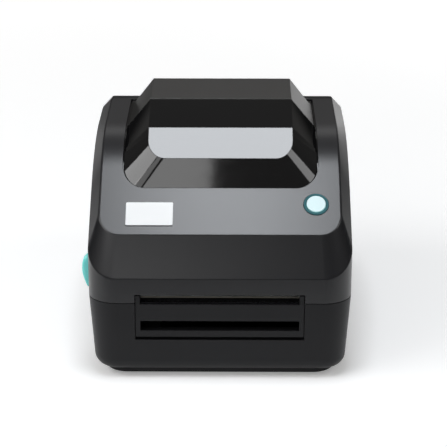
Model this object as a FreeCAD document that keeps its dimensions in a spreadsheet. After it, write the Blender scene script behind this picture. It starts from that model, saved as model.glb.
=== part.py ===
import FreeCAD
import Part
import Sketcher
import math
import os
import re

from FreeCAD import Placement, Rotation, Vector

# Driving dimensions in millimetres and degrees. The front is -Y and the desk is Z = 0.
sizes = {
    # casing
    "body_width": 180, "body_depth": 222, "parting_height": 57, "casing_wall": 2.5,
    "front_corner": 20, "rear_corner": 15, "base_draft": 4, "base_underside": 5,
    "base_edge_round": 9, "fit_gap": 0.3, "seat_gap": 0.15,
    # plinth and feet
    "plinth_inset": 11, "plinth_lift": 1.5, "foot_radius": 7, "foot_height": 3, "foot_inset": 16,
    # lid profile, front to back
    "crease_height": 75, "band_run": 13, "band_rise": 27, "panel_slope": 38, "panel_run": 56,
    "crown_radius": 85, "crown_slope": 2, "crown_back": 50, "chamfer_width": 7.5,
    "chamfer_drop": 8, "edge_corner": 14, "edge_round": 1.5, "lid_gap": 0.5,
    # raised hood
    "shoulder_width": 23, "hood_side_run": 17, "hood_start": 43.6, "hood_bevel_run": 7.2,
    "hood_lift": 9.8, "hood_corner": 15, "ridge_corner": 12, "hood_wall": 2.2, "hood_sink": 1.2,
    "patch_end": 71.3, "window_slope": 23, "window_end": 100.8, "roof_end": 146,
    "hood_end": 161, "roof_slope": 3.9, "hood_gap": 0.8, "hood_flange": 3, "window_gap": 0.6, "lap_length": 3,
    # front slots
    "slot_half": 54, "bezel_column": 3, "bezel_low": 32, "lower_slot_low": 36.6,
    "lower_slot_top": 44, "middle_bar_top": 56.4, "bezel_top": 62.5, "notch_top": 63.5,
    "bezel_gap": 0.6, "bezel_foot_gap": 2.4, "bezel_depth": 6, "bezel_flange": 3, "tear_bar_rise": 1.4,
    "tear_bar_depth": 2.4, "tear_tooth_pitch": 3,
    # platen drive
    "platen_inset": 16, "platen_radius": 7.7, "platen_half": 56, "platen_shaft_radius": 3,
    "shaft_gap": 0.05, "bush_radius": 5, "side_plate_x": 66, "side_plate_thick": 2,
    "bush_rim": 1.5, "bush_rim_thick": 2, "plate_edge": 1.5, "toe_clear": 6,
    "gear_module": 0.8, "platen_teeth": 24, "idler_small_teeth": 14, "idler_large_teeth": 40,
    "pinion_teeth": 12, "gear_width": 4, "gear_layer_gap": 1, "gear_plate_gap": 2,
    "idler_angle": 45, "motor_angle": 20, "motor_radius": 17.5, "motor_length": 24,
    "motor_shaft_radius": 2.5, "idler_pin_radius": 2, "backlash": 0.12,
    # media tray
    "deck_height": 52, "tray_wall": 2.5, "trough_radius": 62, "trough_back": 22, "trough_clear": 1,
    "tray_half": 64.5, "apron_inset": 14.5, "apron_thick": 2.5, "apron_top": 65,
    # sensors on the tray
    "sensor_half": 6, "sensor_depth": 8, "sensor_flange": 3, "sensor_lap": 2, "sensor_foot_height": 5,
    "cover_switch_gap": 3, "cover_switch_wide": 6, "cover_switch_tall": 6, "cover_arm_inset": 1.5,
    "cover_arm_thick": 0.8,
    # roll guides
    "guide_thick": 4, "guide_half": 22, "guide_travel": 36, "hub_radius": 12, "hub_depth": 6,
    "rack_module": 1, "guide_teeth": 16, "rack_low": 13.5, "rack_top": 18.5, "rack_back": 4,
    "neck_half": 3, "guide_pin_radius": 2, "guide_crest": 8,
    # main board and rear sockets
    "board_low": 11, "board_thick": 1.6, "board_half": 72, "board_front": 40, "board_back_gap": 5,
    "jack_x": -52, "jack_width": 10, "usb_x": -26, "usb_width": 12.4, "socket_height": 11,
    "socket_depth": 13, "switch_x": 50, "switch_width": 21, "switch_low": 25, "switch_height": 14,
    "switch_depth": 16, "switch_flange": 1.5, "rocker_tilt": 7, "rocker_gap": 1, "rocker_side": 1,
    "rocker_belly": 3, "rocker_axle": 1,
    "chip_half": 9, "chip_inset": 14, "chip_tall": 1.8, "capacitor_radius": 4, "capacitor_tall": 9,
    "capacitor_inset": 22, "header_wide": 18, "header_deep": 6, "header_inset": 4, "header_tall": 6,
    "jack_bore": 3.2, "jack_pin": 1, "jack_hollow": 10, "socket_lip": 1, "contact_set_back": 0.5,
    "usb_side": 1.8, "usb_face": 1.6, "usb_hollow": 9, "usb_tongue_half": 2.8, "usb_tongue_inset": 4,
    # hinge
    "hinge_inset": 5.5, "hinge_height": 61, "barrel_radius": 5, "barrel_start": 61.5,
    "barrel_length": 13, "lug_start": 57, "lug_thick": 4, "hinge_pin_radius": 1.5,
    "rear_relief": 12, "rear_drop": 3.5, "rear_rise": 4.5, "rear_slot_half": 56, "rear_slot_top": 67,
    # print head
    "head_gap": 0.3, "ceramic_thick": 1, "ceramic_depth": 18, "head_depth": 24, "head_height": 5,
    "head_half": 58, "carrier_thick": 1.5, "cheek_x": 61, "cheek_thick": 2.5, "head_pivot_back": 45,
    "head_pivot_height": 66, "head_pin_radius": 1.5, "frame_ceiling": 87.5, "frame_front": 12,
    "frame_back": 53, "head_spring_x": 35, "head_spring_back": 19, "head_spring_radius": 4,
    "spring_wire": 0.4, "spring_seat": 80, "frame_lift": 1.5, "spigot_length": 3, "spigot_gap": 1,
    "carrier_gap": 0.5, "carrier_spigot": 2.5, "ear_rise": 3, "fin_thick": 1, "fin_groove": 2,
    "fin_floor": 2, "fin_roof": 1.2, "end_notch": 2, "end_notch_depth": 4, "head_spring_turns": 5,
    # latch
    "latch_inset": 30, "latch_height": 70, "latch_shaft_radius": 3, "hook_inset": 8, "hook_thick": 3,
    "hook_width": 4, "hook_low": 46, "hook_nose": 3, "hook_tip": 3.2, "strike_gap": 0.8,
    "strike_depth": 6, "strike_height": 3.5, "lever_low": 58.7, "lever_top": 81, "lever_reach": 4.8,
    "lever_half": 4.5, "lever_gap": 0.3, "latch_spring_radius": 3.8, "hook_eye_wall": 2.2,
    "latch_spring_turns": 4, "latch_spring_pitch": 3.4,
    # panel parts, measured from the panel's front edge up its slope
    "button_inset": 24.6, "button_up": 24.4, "ring_radius": 8.5, "ring_bore": 6.8, "ring_proud": 0.5,
    "ring_lip": 1.5, "cap_radius": 6.45, "cap_proud": 1, "cap_wall": 1.4, "button_travel": 1.2,
    "badge_inset": 42, "badge_up": 16.25, "badge_width": 32, "badge_height": 18.3, "badge_thick": 0.8,
    "badge_corner": 0.9, "cap_flange": 0.8, "cap_flange_inset": 0.5, "card_depth": 8.4, "card_thick": 1.6,
    "key_half": 3, "key_tall": 2.8, "key_rise": 0.6, "key_gap": 0.2, "key_top_radius": 1.7,
    # screws
    "screw_radius": 1.45, "screw_head_radius": 2.8, "screw_head": 1.8, "boss_radius": 4, "boss_root": 0.5,
}

doc = FreeCAD.newDocument("LabelPrinter")
sheet = doc.addObject("Spreadsheet::Sheet", "Sizes")
for row, (alias, value) in enumerate(sizes.items(), start=1):
    sheet.set(f"A{row}", alias)
    sheet.set(f"B{row}", str(value))
    sheet.setAlias(f"B{row}", alias)
doc.recompute()


def size(alias):
    return float(sheet.get(alias))


def bound(formula):
    # Every size named in a formula is read from its cell.
    return re.sub(r"[a-z][a-z_]+", lambda m: "Sizes." + m[0] if m[0] in sizes else m[0], str(formula))


def bind(item, **formulas):
    for path, formula in formulas.items():
        item.setExpression(path, bound(formula))


def put(item, x, y, z):
    for letter, formula in zip("xyz", (x, y, z)):
        item.setExpression(f".Placement.Base.{letter}", bound(formula))


def block(name, x, y, z):
    item = doc.addObject("Part::Box", name)
    for side, (low, high) in zip(("Length", "Width", "Height"), (x, y, z)):
        item.setExpression(side, bound(f"({high}) - ({low})"))
    put(item, x[0], y[0], z[0])
    return item


turns = {
    "X": Rotation(Vector(0, 1, 0), 90),
    "Y": Rotation(Vector(1, 0, 0), -90),
    "Z": Rotation(),
}


def rod(name, axis, radius, span, first, second):
    # A cylinder along an axis. first and second are its place on the two other axes, in X Y Z order.
    item = doc.addObject("Part::Cylinder", name)
    item.Placement = Placement(Vector(), turns[axis])
    bind(item, Radius=radius, Height=f"({span[1]}) - ({span[0]})")
    spot = [first, second]
    spot.insert("XYZ".index(axis), span[0])
    put(item, *spot)
    return item


def fuse(name, items):
    item = doc.addObject("Part::MultiFuse", name)
    item.Shapes = items
    return item


def cut(name, base, tools):
    item = doc.addObject("Part::Cut", name)
    item.Base = base
    item.Tool = tools[0] if len(tools) == 1 else fuse(name + "_tools", tools)
    return item


def group(name, items):
    # Separate solids that share one node.
    item = doc.addObject("Part::Compound", name)
    item.Links = items
    return item


def feature(name, shape):
    item = doc.addObject("Part::Feature", name)
    item.Shape = shape
    return item


nodes = {}


def node(name, item):
    item.Label = name
    nodes[name] = item
    return item


# Places that several pieces share, as formulas
half = "(body_width / 2)"
inner = "(body_width / 2 - casing_wall)"
front = "(-body_depth / 2)"
back = "(body_depth / 2)"
floor = "(base_underside + casing_wall)"
panel_y = f"({front} + band_run)"
panel_z = "(crease_height + band_rise)"
button_x = "(body_width / 2 - button_inset)"
badge_x = "(badge_inset - body_width / 2)"
hook_x = "(body_width / 2 - hook_inset)"
trough_z = "(rack_top + tray_wall + trough_clear + trough_radius)"


def panel_spot(x, up, proud):
    # A point on the sloped panel: across, up its slope and out along its normal.
    y = f"{panel_y} + ({up}) * cos(panel_slope) - ({proud}) * sin(panel_slope)"
    z = f"{panel_z} + ({up}) * sin(panel_slope) + ({proud}) * cos(panel_slope)"
    return x, y, z


def tilt(item):
    item.Placement = Placement(Vector(), Rotation(Vector(1, 0, 0), size("panel_slope")))
    item.setExpression(".Placement.Rotation.Angle", bound("panel_slope"))


def panel_rod(name, radius, x, up, span):
    item = doc.addObject("Part::Cylinder", name)
    tilt(item)
    bind(item, Radius=radius, Height=f"({span[1]}) - ({span[0]})")
    put(item, *panel_spot(x, up, span[0]))
    return item


def panel_block(name, x, up, span):
    item = doc.addObject("Part::Box", name)
    tilt(item)
    for side, (low, high) in zip(("Length", "Width", "Height"), (x, up, span)):
        item.setExpression(side, bound(f"({high}) - ({low})"))
    put(item, *panel_spot(x[0], up[0], span[0]))
    return item


# Sketches with rounded corners, for bodies that are padded
def plane_of(body, role):
    return next(p for p in body.Origin.OriginFeatures if p.Role == role)


def rounded_sketch(body, name, half_width, low, high, low_corner, high_corner, lift):
    # A rectangle from -half_width to half_width and from -low to high, rounded by two radii.
    sketch = body.newObject("Sketcher::SketchObject", name)
    sketch.AttachmentSupport = [(plane_of(body, "XY_Plane"), "")]
    sketch.MapMode = "FlatFace"
    sketch.setExpression(".AttachmentOffset.Base.z", bound(lift))
    wide, tall, corner = 40.0, 30.0, 5.0
    ends = [
        (-wide + corner, -tall, wide - corner, -tall), (wide, -tall + corner, wide, tall - corner),
        (wide - corner, tall, -wide + corner, tall), (-wide, tall - corner, -wide, -tall + corner),
    ]
    for x0, y0, x1, y1 in ends:
        sketch.addGeometry(Part.LineSegment(Vector(x0, y0, 0), Vector(x1, y1, 0)), False)
    centres = [(1, -1, 270), (1, 1, 0), (-1, 1, 90), (-1, -1, 180)]
    for side, end, start in centres:
        circle = Part.Circle(Vector(side * (wide - corner), end * (tall - corner), 0), Vector(0, 0, 1),
                             corner)
        arc = Part.ArcOfCircle(circle, math.radians(start), math.radians(start + 90))
        sketch.addGeometry(arc, False)
    constrain = sketch.addConstraint
    for line in range(4):
        constrain(Sketcher.Constraint("Tangent", line, 2, 4 + line, 1))
        constrain(Sketcher.Constraint("Tangent", 4 + line, 2, (line + 1) % 4, 1))
    constrain(Sketcher.Constraint("Horizontal", 0))
    constrain(Sketcher.Constraint("Vertical", 1))
    constrain(Sketcher.Constraint("Horizontal", 2))
    constrain(Sketcher.Constraint("Vertical", 3))
    constrain(Sketcher.Constraint("Equal", 4, 7))
    constrain(Sketcher.Constraint("Equal", 5, 6))
    sized = {
        "right": (("DistanceX", -1, 1, 1, 1, wide), half_width),
        "left": (("DistanceX", 3, 1, -1, 1, wide), half_width),
        "near": (("DistanceY", 0, 1, -1, 1, tall), low),
        "far": (("DistanceY", -1, 1, 2, 1, tall), high),
        "near_round": (("Radius", 4, corner), low_corner),
        "far_round": (("Radius", 5, corner), high_corner),
    }
    for label, (terms, formula) in sized.items():
        index = constrain(Sketcher.Constraint(*terms))
        sketch.renameConstraint(index, label)
        sketch.setExpression("Constraints." + label, bound(formula))
    doc.recompute()
    return sketch


def pad(body, sketch, length, draft=None, reverse=False, kind="PartDesign::Pad"):
    item = body.newObject(kind, sketch.Name + "_" + kind.split("::")[1].lower())
    item.Profile = sketch
    item.setExpression("Length", bound(length))
    if draft:
        item.setExpression("TaperAngle", bound(draft))
    item.Reversed = reverse
    doc.recompute()
    return item


# Lid form: a front part between three outlines and a rear part lofted across its side profiles
def outline(half_width, y_front, z_front, corner, slope, y_cut):
    # Edges from the cut round the front to the cut again, in a plane that rises at the slope.
    rise = math.tan(slope)
    up = Vector(0, math.cos(slope), math.sin(slope))

    def spot(x, y):
        return Vector(x, y, z_front + (y - y_front) * rise)

    def bend(side):
        centre = spot(side * (half_width - corner), y_front + corner)
        along = up * (corner / math.cos(slope))
        across = Vector(side * corner, 0, 0)
        if slope == 0:
            turn = Part.Circle(centre, Vector(0, 0, 1), corner)
            start = math.pi if side < 0 else 1.5 * math.pi
            return Part.ArcOfCircle(turn, start, start + math.pi / 2).toShape()
        if side < 0:
            oval = Part.Ellipse(centre + along, centre + across, centre)
            return Part.ArcOfEllipse(oval, math.pi / 2, math.pi).toShape()
        oval = Part.Ellipse(centre - along, centre + across, centre)
        return Part.ArcOfEllipse(oval, 0, math.pi / 2).toShape()

    points = [
        (spot(-half_width, y_cut), spot(-half_width, y_front + corner)),
        (spot(corner - half_width, y_front), spot(half_width - corner, y_front)),
        (spot(half_width, y_front + corner), spot(half_width, y_cut)),
        (spot(half_width, y_cut), spot(-half_width, y_cut)),
    ]
    left, face, right, rear = [Part.makeLine(a, b) for a, b in points]
    return [left, bend(-1), face, bend(1), right, rear]


def closed_solid(faces):
    shell = Part.makeShell(faces)
    shell.sewShape()
    solid = Part.makeSolid(Part.Shell(shell.Faces))
    if solid.Volume < 0:
        solid.reverse()
    return solid


def stacked(levels):
    # A solid between outlines, one above the other.
    faces = [Part.Face(Part.Wire(levels[0])), Part.Face(Part.Wire(levels[-1]))]
    for lower, upper in zip(levels, levels[1:]):
        faces += [Part.makeRuledSurface(a, b) for a, b in zip(lower, upper)]
    return closed_solid(faces)


def side_path(x, start, bends, y_back, z_low):
    # A closed side profile at one x: a sloped line, two arcs and the line between them, then the back.
    path = [Vector(x, *start)]
    edges = []
    for first, middle, last in bends:
        edges.append(Part.makeLine(path[-1], Vector(x, *first)))
        edges.append(Part.Arc(Vector(x, *first), Vector(x, *middle), Vector(x, *last)).toShape())
        path.append(Vector(x, *last))
    corners = [path[-1], Vector(x, y_back, z_low), Vector(x, start[0], z_low), path[0]]
    edges += [Part.makeLine(a, b) for a, b in zip(corners, corners[1:])]
    return Part.Wire(edges)


class Profile:
    # A side profile: the panel's slope, the crown arc, the crown's slope and the arc to the back.
    def __init__(self, y_bend, z_bend, radius, y_back, crown_z):
        self.slope = math.radians(size("panel_slope"))
        self.crown = math.radians(size("crown_slope"))
        self.radius = radius
        self.bend = (y_bend + radius * math.sin(self.slope), z_bend - radius * math.cos(self.slope))
        y_end = size("crown_back")
        self.back_radius = (y_back - y_end) / (1 + math.sin(self.crown))
        self.rear = (y_end + self.back_radius * math.sin(self.crown),
                     crown_z - self.back_radius * math.cos(self.crown))

    def on(self, centre, radius, angle):
        return centre[0] - radius * math.sin(angle), centre[1] + radius * math.cos(angle)

    def line_z(self, y, inset):
        y0, z0 = self.on(self.bend, self.radius - inset, self.slope)
        return z0 + (y - y0) * math.tan(self.slope)

    def bends(self, inset):
        result = []
        spans = ((self.bend, self.radius, self.slope, self.crown),
                 (self.rear, self.back_radius, self.crown, -math.pi / 2))
        for centre, radius, first, last in spans:
            angles = (first, (first + last) / 2, last)
            result.append([self.on(centre, radius - inset, a) for a in angles])
        return result

    def height(self, y):
        y0, y1 = self.bends(0)[0][0][0], self.bends(0)[0][2][0]
        if y < y0:
            return self.line_z(y, 0)
        if y < y1:
            return self.bend[1] + math.sqrt(self.radius ** 2 - (y - self.bend[0]) ** 2)
        z1 = self.bends(0)[0][2][1]
        return z1 + (y - y1) * math.tan(self.crown)


y_front = -size("body_depth") / 2
y_back = size("body_depth") / 2
y_bend = y_front + size("panel_run")
slope = math.radians(size("panel_slope"))
crown = math.radians(size("crown_slope"))
edge_y = y_front + size("band_run")
edge_z = size("crease_height") + size("band_rise")
bend_z = edge_z + (y_bend - edge_y) * math.tan(slope)
crown_turn = math.sin(slope) - math.sin(crown)
crown_lift = math.cos(crown) - math.cos(slope)
crown_y = y_bend + size("crown_radius") * crown_turn
crown_z = (bend_z + size("crown_radius") * crown_lift
           + (size("crown_back") - crown_y) * math.tan(crown))
top_profile = Profile(y_bend, bend_z, size("crown_radius"), y_back, crown_z)
# The lower edge of the side chamfer starts at the front crease and ends a set drop below the crown.
low_bend_z = size("crease_height") + size("panel_run") * math.tan(slope)
low_crown_z = crown_z - size("chamfer_drop")
low_rise = low_crown_z - low_bend_z - (size("crown_back") - y_bend) * math.tan(crown)
low_radius = low_rise / (crown_lift - crown_turn * math.tan(crown))
low_profile = Profile(y_bend, low_bend_z, low_radius, y_back, low_crown_z)
lid_cut_back = 3
inset_share = 0.75


def plan_prism(half_width, y_near, near_corner, y_far, far_corner, z_low, z_high):
    near = outline(half_width, y_near, z_low, near_corner, 0, 0)[:5]
    far = [e.copy() for e in outline(half_width, -y_far, z_low, far_corner, 0, 0)[:5]]
    for edge in far:
        edge.rotate(Vector(0, 0, 0), Vector(0, 0, 1), 180)
    face = Part.Face(Part.Wire(Part.__sortEdges__(near + far)))
    return face.extrude(Vector(0, 0, z_high - z_low))


def lid_form(inset, z_low):
    half_width = size("body_width") / 2 - inset
    top_half = size("body_width") / 2 - size("chamfer_width") - inset * inset_share
    cut_y = y_bend - lid_cut_back
    low_y = y_front + inset
    high_y = edge_y + inset * inset_share
    low_corner = size("front_corner") - inset
    levels = [
        outline(half_width, low_y, z_low, low_corner, 0, cut_y),
        outline(half_width, low_y, low_profile.line_z(low_y, inset), low_corner, slope, cut_y),
        outline(top_half, high_y, top_profile.line_z(high_y, inset),
                size("edge_corner") - inset * inset_share,
                slope, cut_y),
    ]
    sections = []
    for x, profile in ((-half_width, low_profile), (-top_half, top_profile),
                       (top_half, top_profile), (half_width, low_profile)):
        start = (cut_y, profile.line_z(cut_y, inset))
        sections.append(side_path(x, start, profile.bends(inset), y_back - inset, z_low))
    rear = Part.makeLoft(sections, True, True)
    plan = plan_prism(half_width, low_y, low_corner, y_back - inset, size("rear_corner") - inset,
                      z_low, crown_z + 1)
    return stacked(levels).fuse(rear).removeSplitter().common(plan)


# Rounding of the creases, which are found by the angle between their two faces
def crease_angle(form, edge):
    middle = edge.valueAt((edge.FirstParameter + edge.LastParameter) / 2)
    normals = []
    for face in form.ancestorsOfType(edge, Part.Face):
        u, v = face.Surface.parameter(middle)
        normals.append(face.normalAt(u, v))
    return math.degrees(normals[0].getAngle(normals[-1]))


def softened(form, radius, wanted):
    least, most = 5, 75
    creases = [e for e in form.Edges if wanted(e.BoundBox) and least < crease_angle(form, e) < most]
    return form.makeFillet(radius, creases)


def lid_crease(box):
    rear_corner = box.YMin > size("crown_back") and box.XLength > size("chamfer_width") / 2
    return box.ZMin > size("crease_height") - 1 and not rear_corner


# Hood form: the same construction, with a faceted profile over the lid's crown
hood_half = size("body_width") / 2 - size("shoulder_width")
ridge_half = hood_half - size("hood_side_run")
hood_y = y_front + size("hood_start")
ridge_y = hood_y + size("hood_bevel_run")
ridge_z = top_profile.line_z(ridge_y, -size("hood_lift"))
patch_y = y_front + size("patch_end")
window_y = y_front + size("window_end")
roof_y = y_front + size("roof_end")
hood_back_y = y_front + size("hood_end")
patch_z = ridge_z + (patch_y - ridge_y) * math.tan(slope)
window_z = patch_z + (window_y - patch_y) * math.tan(math.radians(size("window_slope")))
roof_z = window_z + (roof_y - window_y) * math.tan(math.radians(size("roof_slope")))


def polygon(points):
    return Part.makePolygon(points + points[:1])


def hood_form(inset, z_low, spread=0):
    half_width = hood_half - inset + spread
    top_half = ridge_half - inset * inset_share
    sink = inset / math.cos(slope)
    low_y = hood_y + inset - spread
    high_y = ridge_y + inset * inset_share
    corner = size("hood_corner") - inset + spread
    high_corner = size("ridge_corner") - inset * inset_share
    cut_y = (patch_y + ridge_y + size("ridge_corner")) / 2
    base_z = top_profile.line_z(low_y, 0) - size("hood_sink") - sink
    levels = [
        outline(half_width, low_y, z_low, corner, 0, cut_y),
        outline(half_width, low_y, base_z, corner, slope, cut_y),
        outline(top_half, high_y, ridge_z + (high_y - ridge_y) * math.tan(slope) - sink, high_corner,
                slope, cut_y),
    ]
    end_y = hood_back_y - inset + spread
    stops = [cut_y, patch_y, window_y, roof_y, end_y]
    ridge = [ridge_z + (cut_y - ridge_y) * math.tan(slope), patch_z, window_z, roof_z,
             top_profile.height(end_y)]
    foot = [top_profile.height(y) - size("hood_sink") for y in stops]
    sections = []
    for x, heights in ((-half_width, foot), (-top_half, ridge), (top_half, ridge), (half_width, foot)):
        path = [Vector(x, y, z - sink) for y, z in zip(stops, heights)]
        path += [Vector(x, end_y, z_low), Vector(x, cut_y, z_low)]
        sections.append(polygon(path))
    return stacked(levels).fuse(Part.makeLoft(sections, True, True)).removeSplitter()


def slab(y0, y1):
    # Everything between two heights of the plan, wide enough to cover the casing.
    wide = size("body_width")
    return Part.makeBox(2 * wide, y1 - y0, 3 * wide, Vector(-wide, y0, -wide))


sides = (-1, 1)
# Places of the platen drive, which the base, the plates and the gears share
platen_y = f"({front} + platen_inset)"
platen_z = "(parting_height - platen_radius)"
idler_reach = "(gear_module * (platen_teeth + idler_small_teeth) / 2)"
idler_y = f"({platen_y} + {idler_reach} * cos(idler_angle))"
idler_z = f"({platen_z} - {idler_reach} * sin(idler_angle))"
motor_reach = "(gear_module * (idler_large_teeth + pinion_teeth) / 2)"
motor_y = f"({idler_y} + {motor_reach} * cos(motor_angle))"
motor_z = f"({idler_z} - {motor_reach} * sin(motor_angle))"
plate_spots = {side: [(f"{side} * (side_plate_x - 1.7 * boss_radius)", f"{platen_y} + {n} * boss_radius")
                      for n in (1.9, 4)] for side in sides}


# Base: a drafted tub with rounded lower edges, bosses, hinge barrels and openings
def lowest_edges(item, z):
    edges = enumerate(item.Shape.Edges, start=1)
    return [f"Edge{i}" for i,
            e in edges if abs(e.BoundBox.ZMin - z) < 0.01 and abs(e.BoundBox.ZMax - z) < 0.01]


def rounded(body, item, z, radius):
    edge = body.newObject("PartDesign::Fillet", item.Name + "_round")
    edge.Base = (item, lowest_edges(item, z))
    edge.setExpression("Radius", bound(radius))
    doc.recompute()
    return edge


tub = doc.addObject("PartDesign::Body", "tub")
tub_plan = rounded_sketch(tub, "tub_plan", half, "body_depth / 2", "body_depth / 2", "front_corner",
                          "rear_corner", "parting_height")
tub_pad = pad(tub, tub_plan, "parting_height - base_underside", "-base_draft", True)
rounded(tub, tub_pad, size("base_underside"), "base_edge_round")
hollow = doc.addObject("PartDesign::Body", "tub_hollow")
hollow_plan = rounded_sketch(hollow, "hollow_plan", inner, "body_depth / 2 - casing_wall",
                             "body_depth / 2 - casing_wall", "front_corner - casing_wall",
                             "rear_corner - casing_wall", "parting_height")
hollow_pad = pad(hollow, hollow_plan, f"parting_height - {floor}", "-base_draft", True)
rounded(hollow, hollow_pad, size("base_underside") + size("casing_wall"), "base_edge_round - casing_wall")
tub_shell = cut("tub_shell", tub, [hollow])

# Where screws stand: the plinth's corners, the board's corners and the tray's sides
plinth_x = "(body_width / 2 - plinth_inset - foot_inset)"
plinth_y = "(body_depth / 2 - plinth_inset - foot_inset)"
plinth_screws = [(f"{a} * ({plinth_x} - 5 * boss_radius)",
                  f"{b} * {plinth_y}") for a in sides for b in sides]
foot_spots = [(f"{a} * ({plinth_x} + foot_radius)", f"{b} * {plinth_y}") for a in sides for b in sides]
board_back = f"({back} - board_back_gap - casing_wall - boss_radius / 2)"
board_spots = [(f"{a} * (board_half - boss_radius)", y) for a in sides
               for y in ("board_front + boss_radius", f"{board_back} - boss_radius")]
tray_edge = f"({inner} - 2)"
tray_spots = [(f"{a} * ({tray_edge} - 2 * boss_radius)", y) for a in sides
              for y in (f"{front} + frame_back + 3 * boss_radius",
                        f"{back} - rear_relief - 2 * boss_radius")]
deck_low = "(deck_height - tray_wall)"
deck_start = f"({front} + frame_back + boss_radius)"
screw_hole = "(screw_radius + shaft_gap)"


def posts(name, spots, low, high, radius="boss_radius"):
    return [rod(f"{name}_{i}", "Z", radius, (low, high), *spot) for i, spot in enumerate(spots)]


hinge_y = f"({back} - hinge_inset)"
barrel_end = "(barrel_start + barrel_length)"
post_front = f"({hinge_y} - barrel_radius)"
post_low = "(parting_height - 4 * boss_radius)"


def across(side, low, high):
    # A span on one side of the middle plane, lowest first.
    return (low, high) if side > 0 else (f"-({high})", f"-({low})")


barrels = []
for side in sides:
    span = across(side, "barrel_start", barrel_end)
    barrels.append(rod("barrel", "X", "barrel_radius", span, hinge_y, "hinge_height"))
    barrels.append(block("barrel_post", span, (post_front, f"{hinge_y} - 2 * fit_gap"),
                         (post_low, "hinge_height")))
    barrels.append(block("barrel_foot", span, (post_front, f"{hinge_y} + barrel_radius / 2"),
                         (post_low, "parting_height - rear_drop")))

guide_x = "(tray_half - tray_wall - seat_gap * 3)"
pinion_reach = "(rack_module * guide_teeth / 2)"
rack_ribs = [block("rack_rib", ("-slot_half", "slot_half"),
                   (f"trough_back + {side} * ({pinion_reach} + rack_module * 2.5) - 1",
                    f"trough_back + {side} * ({pinion_reach} + rack_module * 2.5) + 1"),
                   (floor, "rack_low - fit_gap")) for side in sides]
pinion_boss = rod("pinion_boss", "Z", "boss_radius", (floor, "rack_low - fit_gap"), "0", "trough_back")

bezel_half = "(slot_half + bezel_column)"
bezel_hole = block("bezel_hole", (f"-{bezel_half} - bezel_gap", f"{bezel_half} + bezel_gap"),
                   (f"{front} - casing_wall", f"{front} + 3 * casing_wall"),
                   ("bezel_low - bezel_foot_gap", "parting_height + casing_wall"))
rear_span = (f"{back} - 4 * casing_wall", f"{back} + casing_wall")
board_top = "(board_low + board_thick)"
socket_top = f"({board_top} + socket_height)"


def rear_hole(name, x, width, low, high, gap):
    span = (f"{x} - {width} / 2 - {gap}", f"{x} + {width} / 2 + {gap}")
    return block(name, span, rear_span, (f"{low} - {gap}", f"{high} + {gap}"))


switch_top = "(switch_low + switch_height)"
base_holes = [
    bezel_hole,
    rear_hole("jack_hole", "jack_x", "jack_width", board_top, socket_top, "fit_gap"),
    rear_hole("usb_hole", "usb_x", "usb_width", board_top, socket_top, "fit_gap"),
    rear_hole("switch_hole", "switch_x", "switch_width", "switch_low", switch_top, "fit_gap"),
]
flange_y = f"({back} - (parting_height - {switch_top}) * tan(base_draft) - switch_flange / 2)"
flange_side = "(switch_width / 2 + switch_flange)"


def flange_block(name, gap, y):
    x = (f"switch_x - {flange_side} - {gap}", f"switch_x + {flange_side} + {gap}")
    z = (f"switch_low - switch_flange - {gap}", f"{switch_top} + switch_flange + {gap}")
    return block(name, x, y, z)


flange_seat = flange_block("flange_seat", "seat_gap", (f"{flange_y} - seat_gap", f"{flange_y} + 10"))
rear_open = block("rear_open", (f"-{half}", half), (f"{back} - rear_relief", f"{back} + 1"),
                  ("parting_height - rear_drop", "parting_height + 1"))
# The barrels stand in the rear opening, so they are added after it is cut.
base_walls = cut("base_walls", tub_shell, base_holes + [flange_seat, rear_open])
base_posts = (posts("plinth_boss", plinth_screws, "base_underside + boss_root", "board_low - fit_gap")
              + posts("board_post", board_spots, "base_underside + boss_root", "board_low")
              + posts("tray_post", tray_spots, "base_underside + boss_root", deck_low))
base_whole = fuse("base_whole", [base_walls, pinion_boss] + base_posts + rack_ribs + barrels)
pin_holes = [rod("pin_hole", "X", "hinge_pin_radius + shaft_gap",
                 across(side, "lug_start",
                        f"{barrel_end} - casing_wall"), hinge_y, "hinge_height") for side in sides]
guide_pin_hole = rod("guide_pin_hole", "Z", "guide_pin_radius", (floor, "rack_top"), "0", "trough_back")
base_drills = (posts("plinth_drill", plinth_screws, "base_underside - 1", "board_low - 2 * fit_gap",
                     screw_hole)
               + posts("board_drill", board_spots, "board_low - boss_radius", "board_low + 1", screw_hole)
               + posts("tray_drill", tray_spots, f"{deck_low} - 2 * boss_radius", f"{deck_low} + 1",
                       screw_hole)
               + posts("plate_pilot", plate_spots[-1] + plate_spots[1],
                       f"{floor} - casing_wall / 2 - fit_gap", floor,
                       screw_hole))
node("base_shell", cut("base_shell", base_whole, pin_holes + [guide_pin_hole] + base_drills))

# Plinth plate, feet and the screws that hold it
plinth = doc.addObject("PartDesign::Body", "plinth")
plinth_plan = rounded_sketch(plinth, "plinth_plan", "body_width / 2 - plinth_inset",
                             "body_depth / 2 - plinth_inset",
                             "body_depth / 2 - plinth_inset", "rear_corner", "rear_corner", "plinth_lift")
pad(plinth, plinth_plan, "base_underside - plinth_lift")
foot_seats = posts("foot_seat", foot_spots, "plinth_lift - 1", "foot_height", "foot_radius + seat_gap")
head_seats = posts("head_seat", plinth_screws, "plinth_lift - 1", "plinth_lift + screw_head",
                   "screw_head_radius + fit_gap")
plate_drills = posts("plate_drill", plinth_screws, "plinth_lift", "base_underside + 1", screw_hole)
node("bottom_plate", cut("bottom_plate", plinth, foot_seats + head_seats + plate_drills))
node("rubber_feet", group("rubber_feet", posts("foot", foot_spots, "0", "foot_height", "foot_radius")))


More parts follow.
